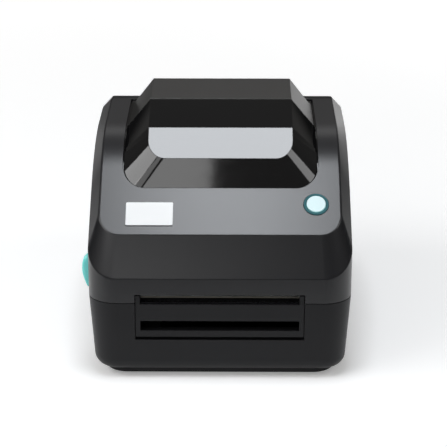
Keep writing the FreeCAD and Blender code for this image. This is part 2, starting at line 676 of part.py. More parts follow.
def screws(name, spots, seat, length, up):
    # Pan heads on a seat. up is 1 where the head stands above the seat.
    items = []
    for i, (x, y) in enumerate(spots):
        far = f"{seat} - {up} * ({length})"
        near = f"{seat} + {up} * screw_head"
        low, high = (far, near) if up > 0 else (near, far)
        head_span = (seat, near) if up > 0 else (near, seat)
        shank = rod(f"{name}_shank_{i}", "Z", "screw_radius", (low, high), x, y)
        cap = rod(f"{name}_head_{i}", "Z", "screw_head_radius", head_span, x, y)
        items.append(fuse(f"{name}_{i}", [shank, cap]))
    return node(name, group(name, items))


screws("bottom_screws", plinth_screws, "plinth_lift + screw_head",
       "board_low - 3 * fit_gap - plinth_lift - screw_head", -1)

# Front bezel: two columns, two bars and a flange behind the wall, in the drafted plane of the front
def front_block(name, x, depth, z):
    item = doc.addObject("Part::Box", name)
    item.Placement = Placement(Vector(), Rotation(Vector(1, 0, 0), size("base_draft")))
    item.setExpression(".Placement.Rotation.Angle", bound("base_draft"))
    for side, (low, high) in zip(("Length", "Width", "Height"), (x, depth, z)):
        item.setExpression(side, bound(f"({high}) - ({low})"))
    down = f"(({z[0]}) - parting_height)"
    put(item, x[0], f"{front} + ({depth[0]}) * cos(base_draft) - {down} * sin(base_draft)",
        f"parting_height + ({depth[0]}) * sin(base_draft) + {down} * cos(base_draft)")
    return item


full_depth = ("0", "bezel_depth")
bezel_parts = []
lip_depth = ("casing_wall + seat_gap", "bezel_depth")
for side in sides:
    column = across(side, "slot_half", bezel_half)
    bezel_parts.append(front_block("column", column, full_depth, ("bezel_low", "parting_height")))
    bezel_parts.append(block("column_top", column, (front, f"{front} + bezel_depth"),
                             ("parting_height - 1", "bezel_top")))
    lip = across(side, "slot_half", f"{bezel_half} + bezel_flange")
    bezel_parts.append(front_block("side_lip", lip, lip_depth,
                                   ("bezel_low - bezel_flange", "middle_bar_top - 1")))
bezel_span = ("-slot_half", "slot_half")
bezel_parts.append(front_block("bottom_bar", bezel_span, full_depth, ("bezel_low", "lower_slot_low")))
bezel_parts.append(front_block("middle_bar", bezel_span, full_depth, ("lower_slot_top", "middle_bar_top")))
foot_lip = (f"-{bezel_half} - bezel_flange", f"{bezel_half} + bezel_flange")
bezel_parts.append(front_block("foot_lip", foot_lip, lip_depth,
                               ("bezel_low - bezel_foot_gap - bezel_flange", "bezel_low + 1")))
node("front_bezel", fuse("front_bezel", bezel_parts))


def tear_bar():
    # A steel strip with a saw edge along the bar under the label exit.
    low, rise = size("middle_bar_top") - size("parting_height"), size("tear_bar_rise")
    limit = size("slot_half") - size("fit_gap")
    count = int(2 * limit / size("tear_tooth_pitch"))
    step = 2 * limit / count
    points = [Vector(-limit, 0, low), Vector(-limit, 0, low + rise / 2)]
    for i in range(count):
        points.append(Vector(-limit + (i + 0.5) * step, 0, low + rise))
        points.append(Vector(-limit + (i + 1) * step, 0, low + rise / 2))
    points.append(Vector(limit, 0, low))
    strip = Part.Face(polygon(points)).extrude(Vector(0, size("tear_bar_depth"), 0))
    strip.translate(Vector(0, rise, 0))
    lean = Placement(Vector(0, y_front, size("parting_height")),
                     Rotation(Vector(1, 0, 0), size("base_draft")))
    return strip.transformed(lean.toMatrix())


node("tear_bar", feature("tear_bar", tear_bar()))

# Side plates that carry the platen, the idler and the motor
plate_out = "(side_plate_x + side_plate_thick)"
plate_front = f"({platen_y} - bush_radius - plate_edge)"
plate_top = "(parting_height - 1)"
plate_clear = "(base_edge_round + casing_wall + toe_clear)"
plate_parts = {}
for side, end in ((-1, f"{motor_y} + motor_radius + boss_radius"), (1, f"{platen_y} + 6 * bush_radius")):
    web = across(side, "side_plate_x", plate_out)
    foot = across(side, "side_plate_x - 3 * boss_radius", plate_out)
    walls = block("plate_web", web, (plate_front, end), (floor, plate_top))
    sole = block("plate_sole", foot, (f"{platen_y} + boss_radius", f"{platen_y} + 5 * boss_radius"),
                 (floor, f"{floor} + side_plate_thick"))
    toe = block("plate_toe", web, (f"{plate_front} - 1", f"{front} + {plate_clear}"),
                (f"{floor} - 1", f"{floor} + 2 * boss_radius"))
    bush_seat = rod("bush_seat", "X", "bush_radius", across(side, "side_plate_x - 1", f"{plate_out} + 1"),
                    platen_y, platen_z)
    holes = [toe, bush_seat]
    holes += posts("sole_drill", plate_spots[side], f"{floor} - 1", f"{floor} + 2 * side_plate_thick",
                   screw_hole)
    if side < 0:
        holes.append(rod("idler_seat", "X", "idler_pin_radius",
                         across(side, "side_plate_x - 1", f"{plate_out} + 1"), idler_y, idler_z))
        holes.append(block("deck_relief", across(side, "side_plate_x - 1", f"{plate_out} + 1"),
                           (f"{deck_start} - 1", f"{end} + 1"), (f"{deck_low} - fit_gap",
                                                                 "parting_height")))
        holes.append(rod("motor_seat", "X", "2 * motor_shaft_radius + seat_gap",
                         across(side, "side_plate_x - 1", f"{plate_out} + 1"), motor_y, motor_z))
    plate_parts[side] = cut("side_plate", fuse("plate_whole", [walls, sole]), holes)
node("gear_plate", plate_parts[-1])
node("platen_plate", plate_parts[1])
sole_top = f"({floor} + side_plate_thick)"
screws("plate_screws", plate_spots[-1] + plate_spots[1], sole_top, "side_plate_thick + casing_wall / 2", 1)

bushes = []
for side in sides:
    barrel = rod("bush_barrel", "X", "bush_radius - 0.01",
                 across(side, "side_plate_x - 1", f"{plate_out} + 0.5"), platen_y, platen_z)
    rim = rod("bush_rim", "X", "bush_radius + bush_rim",
              across(side, "side_plate_x - bush_rim_thick", "side_plate_x - 0.01"), platen_y, platen_z)
    bore = rod("bush_bore", "X", "platen_shaft_radius + shaft_gap",
               across(side, "side_plate_x - bush_rim_thick - 1", f"{plate_out} + 2"), platen_y, platen_z)
    bushes.append(cut("bush", fuse("bush_whole", [barrel, rim]), [bore]))
node("platen_bushes", group("platen_bushes", bushes))

# Platen, gears and motor
layer_one = (f"-({plate_out} + gear_plate_gap + gear_width)", f"-({plate_out} + gear_plate_gap)")
layer_two = (f"-({plate_out} + gear_plate_gap + 2 * gear_width + gear_layer_gap)",
             f"-({plate_out} + gear_plate_gap + gear_width + gear_layer_gap)")
shaft_left = f"-({plate_out} + gear_plate_gap + gear_width + gear_layer_gap / 2)"
node("platen_shaft", rod("platen_shaft", "X", "platen_shaft_radius",
                         (shaft_left, f"{plate_out} + gear_plate_gap"), platen_y, platen_z))
sleeve = rod("sleeve", "X", "platen_radius", ("-platen_half", "platen_half"), platen_y, platen_z)
sleeve_bore = rod("sleeve_bore", "X", "platen_shaft_radius", ("-platen_half - 1", "platen_half + 1"),
                  platen_y, platen_z)
node("platen_rubber", cut("platen_rubber", sleeve, [sleeve_bore]))


def value(formula):
    # A formula worked out with the sizes as they stand, for forms that are drawn from numbers.
    cell = doc.getObject("Worked") or doc.addObject("Spreadsheet::Sheet", "Worked")
    cell.set("A1", "=" + bound(formula))
    cell.recompute()
    return float(cell.get("A1"))


def gear_face(module, teeth, turn):
    # Involute teeth: each flank is an arc through three of its points. turn is where the first tooth points.
    pitch = module * teeth / 2
    base = pitch * math.cos(math.radians(20))
    tip, root = pitch + module, pitch - 1.25 * module

    def involute(radius):
        reach = math.sqrt(max((radius / base) ** 2 - 1, 0))
        return reach - math.atan(reach)

    thick = math.pi / (2 * teeth) - size("backlash") / (2 * pitch)
    start = max(base, root)
    radii = (start, (start + 2 * tip) / 3, tip)

    def spot(radius, angle):
        return Vector(radius * math.cos(angle), radius * math.sin(angle), 0)

    edges = []
    for tooth in range(teeth):
        middle = turn + tooth * 2 * math.pi / teeth
        halves = [thick + involute(pitch) - involute(r) for r in radii]
        right = [spot(r, middle - a) for r, a in zip(radii, halves)]
        left = [spot(r, middle + a) for r, a in zip(radii, halves)]
        gap_end = middle + 2 * math.pi / teeth - halves[0]
        feet = [spot(root, middle - halves[0]), spot(root, middle + halves[0]), spot(root, gap_end)]
        if start > root:
            edges.append(Part.makeLine(feet[0], right[0]))
        edges.append(Part.Arc(*right).toShape())
        edges.append(Part.Arc(right[2], spot(tip, middle), left[2]).toShape())
        edges.append(Part.Arc(*reversed(left)).toShape())
        if start > root:
            edges.append(Part.makeLine(left[0], feet[1]))
        valley = spot(root, (middle + halves[0] + gap_end) / 2)
        edges.append(Part.Arc(feet[1], valley, feet[2]).toShape())
    return Part.Face(Part.Wire(edges))


def lay_along_x(shape, span, y, z):
    # Turns a form drawn in X Y, raised along Z, so that X becomes Y, Y becomes Z and Z becomes X.
    shape.Placement = Placement(Vector(value(span[0]), value(y), value(z)), Rotation(Vector(1, 1, 1), 120))
    return shape


def gear(module, teeth, turn, span, y, z, bore):
    wide = value(span[1]) - value(span[0])
    solid = gear_face(module, teeth, turn).extrude(Vector(0, 0, wide))
    solid = solid.cut(Part.makeCylinder(bore, wide))
    return lay_along_x(solid, span, y, z)


module = size("gear_module")
mesh_one = -math.radians(size("idler_angle"))
mesh_two = -math.radians(size("motor_angle"))
small, large = int(size("idler_small_teeth")), int(size("idler_large_teeth"))
drive, driven = int(size("pinion_teeth")), int(size("platen_teeth"))
run = size("shaft_gap")
node("platen_gear",
     feature("platen_gear", gear(module, driven, mesh_one, layer_one, platen_y, platen_z,
                                 size("platen_shaft_radius"))))
idler_bore = size("idler_pin_radius") + run
idler = gear(module, small, mesh_one + math.pi + math.pi / small, layer_one, idler_y, idler_z, idler_bore)
wheel = gear(module, large, mesh_two, layer_two, idler_y, idler_z, idler_bore)
web_span = (layer_two[1], layer_one[0])
web_length = value(web_span[1]) - value(web_span[0])
web = Part.makeCylinder(module * small / 2, web_length).cut(Part.makeCylinder(idler_bore, web_length))
node("idler_gear",
     feature("idler_gear",
             idler.fuse([wheel, lay_along_x(web, web_span, idler_y, idler_z)]).removeSplitter()))
node("motor_pinion",
     feature("motor_pinion", gear(module, drive, mesh_two + math.pi + math.pi / drive, layer_two, motor_y,
                                  motor_z,
                                                  size("motor_shaft_radius"))))
pin_head = f"({layer_two[0]} - fit_gap)"
idler_stem = rod("idler_stem", "X", "idler_pin_radius", (pin_head, "-side_plate_x"), idler_y, idler_z)
idler_cap = rod("idler_cap", "X", "1.6 * idler_pin_radius", (f"{pin_head} - 1", pin_head), idler_y, idler_z)
node("idler_pin", fuse("idler_pin", [idler_stem, idler_cap]))
motor_span = ("-side_plate_x", "motor_length - side_plate_x")
can = rod("motor_can", "X", "motor_radius", motor_span, motor_y, motor_z)
ears = block("motor_ears", ("-side_plate_x", "1.5 - side_plate_x"),
             (f"{motor_y} - motor_radius", f"{motor_y} + motor_radius"),
             (f"{motor_z} - motor_radius", f"{motor_z} + motor_radius"))
nose = rod("motor_nose", "X", "2 * motor_shaft_radius", (f"-{plate_out}", "-side_plate_x"), motor_y,
           motor_z)
shaft_span = (f"{layer_two[0]} - fit_gap", "motor_length / 2 - side_plate_x")
motor_bore = rod("motor_bore", "X", "motor_shaft_radius + shaft_gap",
                 (shaft_span[0], f"{shaft_span[1]} + fit_gap"), motor_y, motor_z)
node("stepper_motor", cut("stepper_motor", fuse("motor_whole", [can, ears, nose]), [motor_bore]))
node("motor_shaft", rod("motor_shaft", "X", "motor_shaft_radius", shaft_span, motor_y, motor_z))

# Media tray: a deck with a trough for the roll, slots for the guides and an apron at the back
deck_edges = (f"-{tray_edge}", tray_edge)
apron_y = f"({back} - apron_inset)"
deck_back = f"({apron_y} + apron_thick)"
deck = block("deck", deck_edges, (deck_start, deck_back), (deck_low, "deck_height"))
tongue = block("tongue", ("-tray_half", "tray_half"),
               (f"{platen_y} + platen_radius + 2 * fit_gap", deck_start), (deck_low, "deck_height"))
bowl = rod("bowl", "X", "trough_radius + tray_wall", ("-tray_half", "tray_half"), "trough_back", trough_z)
bowl_limit = block("bowl_limit", ("-tray_half", "tray_half"),
                   ("trough_back - 2 * trough_radius", "trough_back + 2 * trough_radius"),
                   ("0", "deck_height"))
bowl_low = doc.addObject("Part::Common", "bowl_low")
bowl_low.Base, bowl_low.Tool = bowl, bowl_limit
apron = block("apron", deck_edges, (apron_y, deck_back), ("deck_height - 1", "apron_top"))
roll_space = rod("roll_space", "X", "trough_radius", ("tray_wall - tray_half", "tray_half - tray_wall"),
                 "trough_back", trough_z)
fold_slot = block("fold_slot", ("-rear_slot_half", "rear_slot_half"),
                  (f"{apron_y} - 1", f"{deck_back} + 1"), ("parting_height", "apron_top + 1"))
guide_slots = []
for side in sides:
    run_x = across(side, f"{guide_x} - guide_thick - guide_travel - 0.5", "tray_half - tray_wall")
    guide_slots.append(block("guide_slot", run_x,
                             ("trough_back - neck_half - 0.5",
                              "trough_back + neck_half + 0.5"), ("rack_low", trough_z)))
sensor_y = f"({platen_y} + 2 * platen_radius)"
sensor_hole = block("sensor_hole", ("-sensor_half - seat_gap", "sensor_half + seat_gap"),
                    (f"{sensor_y} - seat_gap", f"{sensor_y} + sensor_depth + seat_gap"),
                    ("deck_height - 4 * tray_wall", "deck_height + 1"))
tray_drills = posts("deck_drill", tray_spots, f"{deck_low} - 1", "deck_height + 1", screw_hole)
tray_whole = fuse("tray_whole", [deck, tongue, bowl_low, apron])
node("media_tray",
     cut("media_tray", tray_whole, [roll_space, fold_slot, sensor_hole] + guide_slots + tray_drills))
screws("tray_screws", tray_spots, "deck_height", "tray_wall + boss_radius", 1)
sensor_top = block("sensor_top", ("-sensor_half", "sensor_half"), (sensor_y, f"{sensor_y} + sensor_depth"),
                   (f"{deck_low} - seat_gap", "deck_height - seat_gap"))
sensor_foot = block("sensor_foot", ("-sensor_half - sensor_flange", "sensor_half + sensor_flange"),
                    (f"{sensor_y} - sensor_lap", f"{sensor_y} + sensor_depth + sensor_lap"),
                    (f"{deck_low} - sensor_foot_height", f"{deck_low} - seat_gap"))
node("gap_sensor", fuse("gap_sensor", [sensor_top, sensor_foot]))
switch_spot = (f"{deck_start} + boss_radius", f"{deck_start} + 3.5 * boss_radius")
switch_in = "(tray_half + cover_switch_gap)"
switch_out = f"({switch_in} + cover_switch_wide)"
switch_roof = "(deck_height + cover_switch_tall)"
switch_box = block("cover_switch_box", (switch_in, switch_out), switch_spot, ("deck_height", switch_roof))
switch_arm = block("cover_switch_arm", (f"{switch_in} + cover_arm_inset", f"{switch_out} - cover_arm_inset"),
                   (f"{switch_spot[0]} + 2", f"{switch_spot[1]} - 1"),
                   (switch_roof, f"{switch_roof} + cover_arm_thick"))
node("cover_switch", fuse("cover_switch", [switch_box, switch_arm]))

# Roll guides: arms with core hubs, joined by racks and a pinion so that they move alike
def rack(side):
    # A bar with straight-sided teeth. It reaches from its guide past the pinion.
    m = size("rack_module")
    step = math.pi * m
    line = size("trough_back") + side * value(pinion_reach)
    tooth = step / 4 - size("backlash") / 2
    lean = math.tan(math.radians(20))
    end = side * (value(guide_x) - size("guide_thick"))
    reach = -side * 4.5 * step
    low, high = min(end, reach), max(end, reach)
    bottom, top = line + side * 1.25 * m, line - side * m
    points = [Vector(low, bottom + side * size("rack_back"), 0), Vector(low, bottom, 0)]
    for i in range(math.ceil(low / step), math.floor(high / step)):
        middle = (i + 0.5) * step
        foot, tip = tooth + 1.25 * m * lean, tooth - m * lean
        points += [Vector(middle - foot, bottom, 0), Vector(middle - tip, top, 0),
                   Vector(middle + tip, top, 0), Vector(middle + foot, bottom, 0)]
    points += [Vector(high, bottom, 0), Vector(high, bottom + side * size("rack_back"), 0)]
    bar = Part.Face(polygon(points)).extrude(Vector(0, 0, size("rack_top") - size("rack_low")))
    bar.translate(Vector(0, 0, size("rack_low")))
    return bar


arm_clear = "(trough_radius - fit_gap)"
for side, word in ((-1, "left"), (1, "right")):
    span = across(side, f"{guide_x} - guide_thick", guide_x)
    disc = rod(f"arm_disc_{word}", "X", arm_clear, span, "trough_back", trough_z)
    strip = block(f"arm_strip_{word}", span, ("trough_back - guide_half", "trough_back + guide_half"),
                  ("rack_low", f"{trough_z} + guide_crest"))
    arm = doc.addObject("Part::Common", f"arm_{word}")
    arm.Base, arm.Tool = disc, strip
    crest = rod(f"arm_crest_{word}", "X", "guide_half", span, "trough_back", f"{trough_z} + guide_crest")
    neck = block(f"arm_neck_{word}", span, ("trough_back - neck_half", "trough_back + neck_half"),
                 ("rack_low", f"{trough_z} - trough_radius + 2"))
    rack_line = f"(trough_back + {side} * ({pinion_reach} + 1.25 * rack_module + rack_back))"
    shoe_y = ("trough_back - neck_half", rack_line) if side > 0 else (rack_line, "trough_back + neck_half")
    shoe_x = across(side, f"{guide_x} - 3 * guide_thick", guide_x)
    shoe = block(f"arm_shoe_{word}", shoe_x, shoe_y, ("rack_low", "rack_top"))
    bar = feature(f"rack_{word}", rack(side))
    window_cut = rod(f"arm_window_{word}", "X", "guide_half / 3", across(side, "0", half), "trough_back",
                     f"{trough_z} - 1.5 * guide_half")
    node(f"roll_guide_{word}",
         cut(f"roll_guide_{word}", fuse(f"guide_whole_{word}", [arm, crest, neck, shoe, bar]),
             [window_cut]))
    hub_span = across(side, f"{guide_x} - guide_thick - hub_depth", f"{guide_x} - guide_thick")
    hub = rod(f"hub_{word}", "X", "hub_radius", hub_span, "trough_back", trough_z)
    hub_well = rod(f"hub_well_{word}", "X", "hub_radius - 2",
                   across(side, f"{guide_x} - guide_thick - hub_depth - 1",
                          f"{guide_x} - guide_thick - 2"), "trough_back", trough_z)
    node(f"guide_hub_{word}", cut(f"guide_hub_{word}", hub, [hub_well]))
teeth = int(size("guide_teeth"))
spur = gear_face(size("rack_module"), teeth,
                 math.pi / 2).extrude(Vector(0, 0, size("rack_top") - size("rack_low")))
spur = spur.cut(Part.makeCylinder(size("guide_pin_radius") + run, size("rack_top")))
spur.translate(Vector(0, size("trough_back"), size("rack_low")))
node("guide_pinion", feature("guide_pinion", spur))
node("guide_pin", rod("guide_pin", "Z", "guide_pin_radius", (floor, "rack_top"), "0", "trough_back"))

# Main board, sockets and the power switch at the back
board = block("board", ("-board_half", "board_half"), ("board_front", board_back), ("board_low", board_top))
node("main_board",
     cut("main_board", board, posts("board_hole", board_spots, "board_low - 1", f"{board_top} + 1",
                                    screw_hole)))
screws("board_screws", board_spots, board_top, "board_thick + boss_radius / 2", 1)
capacitor_spots = (-44, -34, 20, 32)
header_spots = (-64, 44)
chip_front = "(board_front + chip_inset)"
header_front = "(board_front + header_inset)"
chips = [block("processor", ("-chip_half", "chip_half"), (chip_front, f"{chip_front} + 2 * chip_half"),
               (board_top, f"{board_top} + chip_tall"))]
for i, x in enumerate(capacitor_spots):
    chips.append(rod(f"capacitor_{i}", "Z", "capacitor_radius", (board_top, f"{board_top} + capacitor_tall"),
                     str(x), f"{board_back} - capacitor_inset"))
for i, x in enumerate(header_spots):
    chips.append(block(f"header_{i}", (str(x), f"{x} + header_wide"),
                       (header_front, f"{header_front} + header_deep"),
                       (board_top, f"{board_top} + header_tall")))
node("board_parts", group("board_parts", chips))
socket_back = f"({back} - (parting_height - {board_top}) * tan(base_draft) - casing_wall / 2)"
socket_front = f"({socket_back} - socket_depth)"
jack = block("jack_body", ("jack_x - jack_width / 2", "jack_x + jack_width / 2"),
             (socket_front, socket_back), (board_top, socket_top))
jack_z = f"({board_top} + socket_height / 2)"
jack_bore = rod("jack_bore", "Y", "jack_bore", (f"{socket_back} - jack_hollow", f"{socket_back} + 1"),
                "jack_x", jack_z)
jack_pin = rod("jack_pin", "Y", "jack_pin",
               (f"{socket_back} - jack_hollow - contact_set_back",
                f"{socket_back} - socket_lip - contact_set_back"), "jack_x", jack_z)
node("dc_jack", fuse("dc_jack", [cut("jack_shell", jack, [jack_bore]), jack_pin]))
usb = block("usb_body", ("usb_x - usb_width / 2", "usb_x + usb_width / 2"), (socket_front, socket_back),
            (board_top, socket_top))
usb_mouth = block("usb_mouth", ("usb_x - usb_width / 2 + usb_side", "usb_x + usb_width / 2 - usb_side"),
                  (f"{socket_back} - usb_hollow", f"{socket_back} + 1"),
                  (f"{board_top} + usb_face", f"{socket_top} - usb_face"))
usb_tongue = block("usb_tongue", ("usb_x - usb_tongue_half", "usb_x + usb_tongue_half"),
                   (f"{socket_back} - usb_hollow - contact_set_back", f"{socket_back} - socket_lip"),
                   (f"{board_top} + usb_tongue_inset", f"{socket_top} - usb_tongue_inset"))
node("usb_socket", fuse("usb_socket", [cut("usb_shell", usb, [usb_mouth]), usb_tongue]))
case = block("switch_case", ("switch_x - switch_width / 2", "switch_x + switch_width / 2"),
             (f"{flange_y} - switch_depth", flange_y),
             ("switch_low", switch_top))
rim = flange_block("switch_rim", "0", (flange_y, f"{flange_y} + switch_flange"))
well = block("switch_well", ("switch_x - switch_width / 2 + switch_flange",
                             "switch_x + switch_width / 2 - switch_flange"),
             (f"{flange_y} - switch_depth / 2", f"{flange_y} + 2 * switch_flange"),
             ("switch_low + switch_flange", f"{switch_top} - switch_flange"))
pivot_y = f"({flange_y} - switch_flange)"
pivot_rod = rod("rocker_axle", "Z", "rocker_axle", ("switch_low + 1", f"{switch_top} - 1"), "switch_x",
                pivot_y)
node("power_switch",
     fuse("power_switch", [cut("switch_housing", fuse("switch_solid", [case, rim]), [well]), pivot_rod]))


def rocker():
    # A paddle with two faces that meet over the axle, tipped to one side.
    side_gap, deep, shallow = size("rocker_gap"), size("rocker_belly"), size("rocker_side")
    reach = size("switch_width") / 2 - size("switch_flange") - side_gap
    tip = math.radians(size("rocker_tilt"))
    rise = 2.2 * size("switch_flange")
    points = [Vector(-reach, rise, 0), Vector(0, rise - reach * math.tan(tip), 0), Vector(reach, rise, 0),
              Vector(reach, -shallow, 0), Vector(0, -deep, 0), Vector(-reach, -shallow, 0)]
    tall = size("switch_height") - 2 * size("switch_flange") - side_gap
    paddle = Part.Face(polygon(points)).extrude(Vector(0, 0, tall))
    paddle = paddle.cut(Part.makeCylinder(size("rocker_axle") + run, tall))
    low = size("switch_low") + size("switch_flange") + side_gap / 2
    spot = Vector(size("switch_x"), value(pivot_y), low)
    paddle.Placement = Placement(spot, Rotation(Vector(0, 0, 1), -size("rocker_tilt")))
    return paddle


node("power_rocker", feature("power_rocker", rocker()))

# Hinge pins and latch strikes
node("hinge_pins", group("hinge_pins", [
    rod("hinge_pin", "X", "hinge_pin_radius",
        across(side, "lug_start + fit_gap", f"{barrel_end} - casing_wall - fit_gap"),
        hinge_y, "hinge_height") for side in sides]))
latch_y = f"({front} + latch_inset)"
hook_front = f"({latch_y} - hook_width / 2)"
nose_tip = f"({hook_front} - hook_nose)"
strike_low = "(hook_low + hook_tip + fit_gap)"
strikes = []
for side in sides:
    reach = across(side, f"{hook_x} - 0.5",
                   f"{inner} - (parting_height - {strike_low}) * tan(base_draft) - seat_gap")
    strikes.append(block("strike", reach, (f"{nose_tip} - strike_gap - strike_depth",
                                           f"{nose_tip} - strike_gap"),
                         (strike_low, f"{strike_low} + strike_height")))
node("latch_strikes", group("latch_strikes", strikes))

# Lid shell: the skin with its openings, hinge lugs and bosses
lid_low = size("parting_height") + size("lid_gap")
lid_open_low = lid_low - size("casing_wall")
lid_outside = softened(lid_form(0, lid_low), size("edge_round"), lid_crease)
lid_skin = feature("lid_skin", lid_outside.cut(lid_form(size("casing_wall"), lid_open_low)))
hood_gap = size("hood_gap")
hood_hole = feature("hood_hole", plan_prism(
    hood_half + hood_gap, hood_y - hood_gap, size("hood_corner") + hood_gap,
    hood_back_y + hood_gap, hood_gap, edge_z, 2 * crown_z))
notch = block("notch", (f"-{bezel_half} - bezel_gap", f"{bezel_half} + bezel_gap"),
              (f"{front} - 1", f"{front} + 3 * casing_wall"), ("parting_height - 1", "notch_top"))
ring_hole = panel_rod("ring_hole", "ring_radius + seat_gap", button_x, "button_up",
                      ("-4 * casing_wall", "4 * casing_wall"))
rear_edge = block("rear_edge", (f"-{half} - 1", f"{half} + 1"), (f"{back} - rear_relief", f"{back} + 1"),
                  ("parting_height - 1", "parting_height + rear_rise"))
fold_mouth = block("fold_mouth", ("-rear_slot_half", "rear_slot_half"),
                   (f"{back} - 2 * casing_wall", f"{back} + 1"),
                   ("parting_height - 1", "rear_slot_top"))
barrel_rooms = [rod("barrel_room", "X", "barrel_radius + 0.5",
                    across(side, "barrel_start - fit_gap",
                           f"{barrel_end} + 0.5"), hinge_y, "hinge_height") for side in sides]
shaft_hole = rod("shaft_hole", "X", "latch_shaft_radius + fit_gap", (f"-{half} - 1", f"-{inner} + 1"),
                 latch_y, "latch_height")
frame_top = "(frame_ceiling + cheek_thick)"
frame_spots = [(f"{a} * (cheek_x - 4.5 * boss_radius)", y) for a in sides
               for y in (f"{front} + frame_front + 2 * boss_radius",
                         f"{front} + hood_start - hood_flange - 2 * boss_radius")]
lid_inside = feature("lid_inside", lid_form(size("casing_wall") / 2, lid_low))
tall_bosses = fuse("tall_bosses", posts("frame_boss", frame_spots, frame_top, "2 * frame_ceiling"))
board_posts = [(f"{button_x} + {a} * (ring_radius + boss_radius)",
                f"button_up + {a} * (ring_radius + 1)") for a in sides]
button_posts = [panel_rod("button_post", "boss_radius / 2", x, up, ("-card_depth", "-casing_wall / 2")) for x,
                up in board_posts]
frame_bosses = doc.addObject("Part::Common", "frame_bosses")
frame_bosses.Base, frame_bosses.Tool = tall_bosses, lid_inside
lugs = []
for side in sides:
    span = across(side, "lug_start", "lug_start + lug_thick")
    lugs.append(rod("lug_eye", "X", "barrel_radius - 0.5", span, hinge_y, "hinge_height"))
    lugs.append(block("lug_root", span, (f"{hinge_y} - barrel_radius + 0.5", f"{back} - casing_wall / 2"),
                      ("hinge_height", "hinge_height + 3 * barrel_radius")))
lid_walls = cut("lid_walls", lid_skin, [hood_hole, notch, ring_hole, rear_edge, fold_mouth,
                                        shaft_hole] + barrel_rooms)
lug_holes = [rod("lug_hole", "X", "hinge_pin_radius + shaft_gap",
                 across(side, "lug_start - 1",
                        "lug_start + lug_thick + 1"), hinge_y, "hinge_height") for side in sides]
boss_drills = posts("boss_drill", frame_spots, f"{frame_top} - 1", f"{frame_top} + 2 * boss_radius",
                    screw_hole)
node("lid_shell", cut("lid_shell", fuse("lid_whole", [lid_walls, frame_bosses] + button_posts + lugs),
                      lug_holes + boss_drills))


seat_inset = size("casing_wall") + size("seat_gap")
hood_wall = size("hood_wall")
flange_low = lid_form(seat_inset + hood_wall, lid_open_low)
hood_low = lid_low
wide_plan = plan_prism(
    hood_half + size("hood_flange"), hood_y - size("hood_flange"),
    size("hood_corner") + size("hood_flange"), hood_back_y + size("hood_flange"), size("hood_flange"),
    lid_low, 2 * crown_z)
hole_plan = plan_prism(
    hood_half - hood_wall, hood_y + hood_wall, size("hood_corner") - hood_wall,
    hood_back_y - hood_wall, 1, lid_low, 2 * crown_z)
flange = lid_form(seat_inset, lid_open_low).cut(flange_low).common(wide_plan).cut(hole_plan)
hood = hood_form(0, hood_low).cut(hood_form(hood_wall, hood_low - 1)).cut(flange_low).fuse(flange)
split_y = window_y
half_gap = size("window_gap") / 2
lap = size("lap_length")
window = hood.common(slab(y_front, split_y - half_gap))
roof = hood.common(slab(split_y + half_gap, y_back))
lap_out = hood_wall + size("seat_gap")
lap_strip = hood_form(lap_out, hood_low).cut(hood_form(lap_out + hood_wall, hood_low - 1)).cut(flange_low)
lap_root = hood_form(hood_wall / 2, hood_low).cut(hood_form(lap_out + hood_wall,
                                                            hood_low - 1)).cut(flange_low)
roof = roof.fuse(lap_strip.common(slab(split_y - half_gap - lap, split_y + half_gap + lap)))
roof = roof.fuse(lap_root.common(slab(split_y + half_gap, split_y + half_gap + lap)))
node("hood_window", feature("hood_window", window.removeSplitter()))
node("hood_roof", feature("hood_roof", roof.removeSplitter()))


# Badge, button and its board on the panel
badge = doc.addObject("PartDesign::Body", "badge")
badge_plan = rounded_sketch(badge, "badge_plan", "badge_width / 2", "badge_height / 2", "badge_height / 2",
                            "badge_corner",
                            "badge_corner", "0")
pad(badge, badge_plan, "badge_thick")
tilt(badge)
put(badge, *panel_spot(badge_x, "badge_up", "0"))
node("badge_plate", badge)
ring_low = "(-casing_wall - seat_gap - ring_lip)"
ring_body = panel_rod("ring_body", "ring_radius", button_x, "button_up", (ring_low, "ring_proud"))
ring_lip = panel_rod("ring_lip", "ring_radius + ring_lip", button_x, "button_up",
                     (ring_low, "-casing_wall - seat_gap"))
ring_bore = panel_rod("ring_hole_inside", "ring_bore", button_x, "button_up",
                      (f"{ring_low} - 1", "ring_proud + 1"))
node("button_ring", cut("button_ring", fuse("ring_whole", [ring_body, ring_lip]), [ring_bore]))
cap_low = f"({ring_low} - fit_gap - cap_flange)"
cap_body = panel_rod("cap_body", "cap_radius", button_x, "button_up", (cap_low, "cap_proud"))
cap_flange = panel_rod("cap_flange", "ring_radius - cap_flange_inset", button_x, "button_up",
                       (cap_low, f"{ring_low} - fit_gap"))
cap_well = panel_rod("cap_well", "cap_radius - cap_wall", button_x, "button_up",
                     (f"{cap_low} - 1", "cap_proud - 1.3 * cap_wall"))
key_low = "(key_tall - card_depth)"
key_high = f"({key_low} + key_rise)"
cap_stem = panel_rod("cap_stem", "cap_wall", button_x, "button_up",
                     (f"{key_high} + button_travel + key_gap", "cap_proud - cap_wall"))
cap_cut = cut("cap_cut", fuse("cap_whole", [cap_body, cap_flange]), [cap_well])
node("feed_button", fuse("feed_button", [cap_cut, cap_stem]))
board_span = ("-card_depth - card_thick", "-card_depth")
button_card = panel_block("button_card", (f"{button_x} - ring_radius - 1.5 * boss_radius",
                                          f"{button_x} + ring_radius + 1.5 * boss_radius"),
                          ("button_up - ring_radius - 1 - boss_radius",
                           "button_up + ring_radius + 1 + boss_radius"), board_span)
key_body = panel_block("key_body", (f"{button_x} - key_half", f"{button_x} + key_half"),
                       ("button_up - key_half", "button_up + key_half"), ("-card_depth", key_low))
key_top = panel_rod("key_top", "key_top_radius", button_x, "button_up", (key_low, key_high))
node("button_board", fuse("button_board", [button_card, key_body, key_top]))

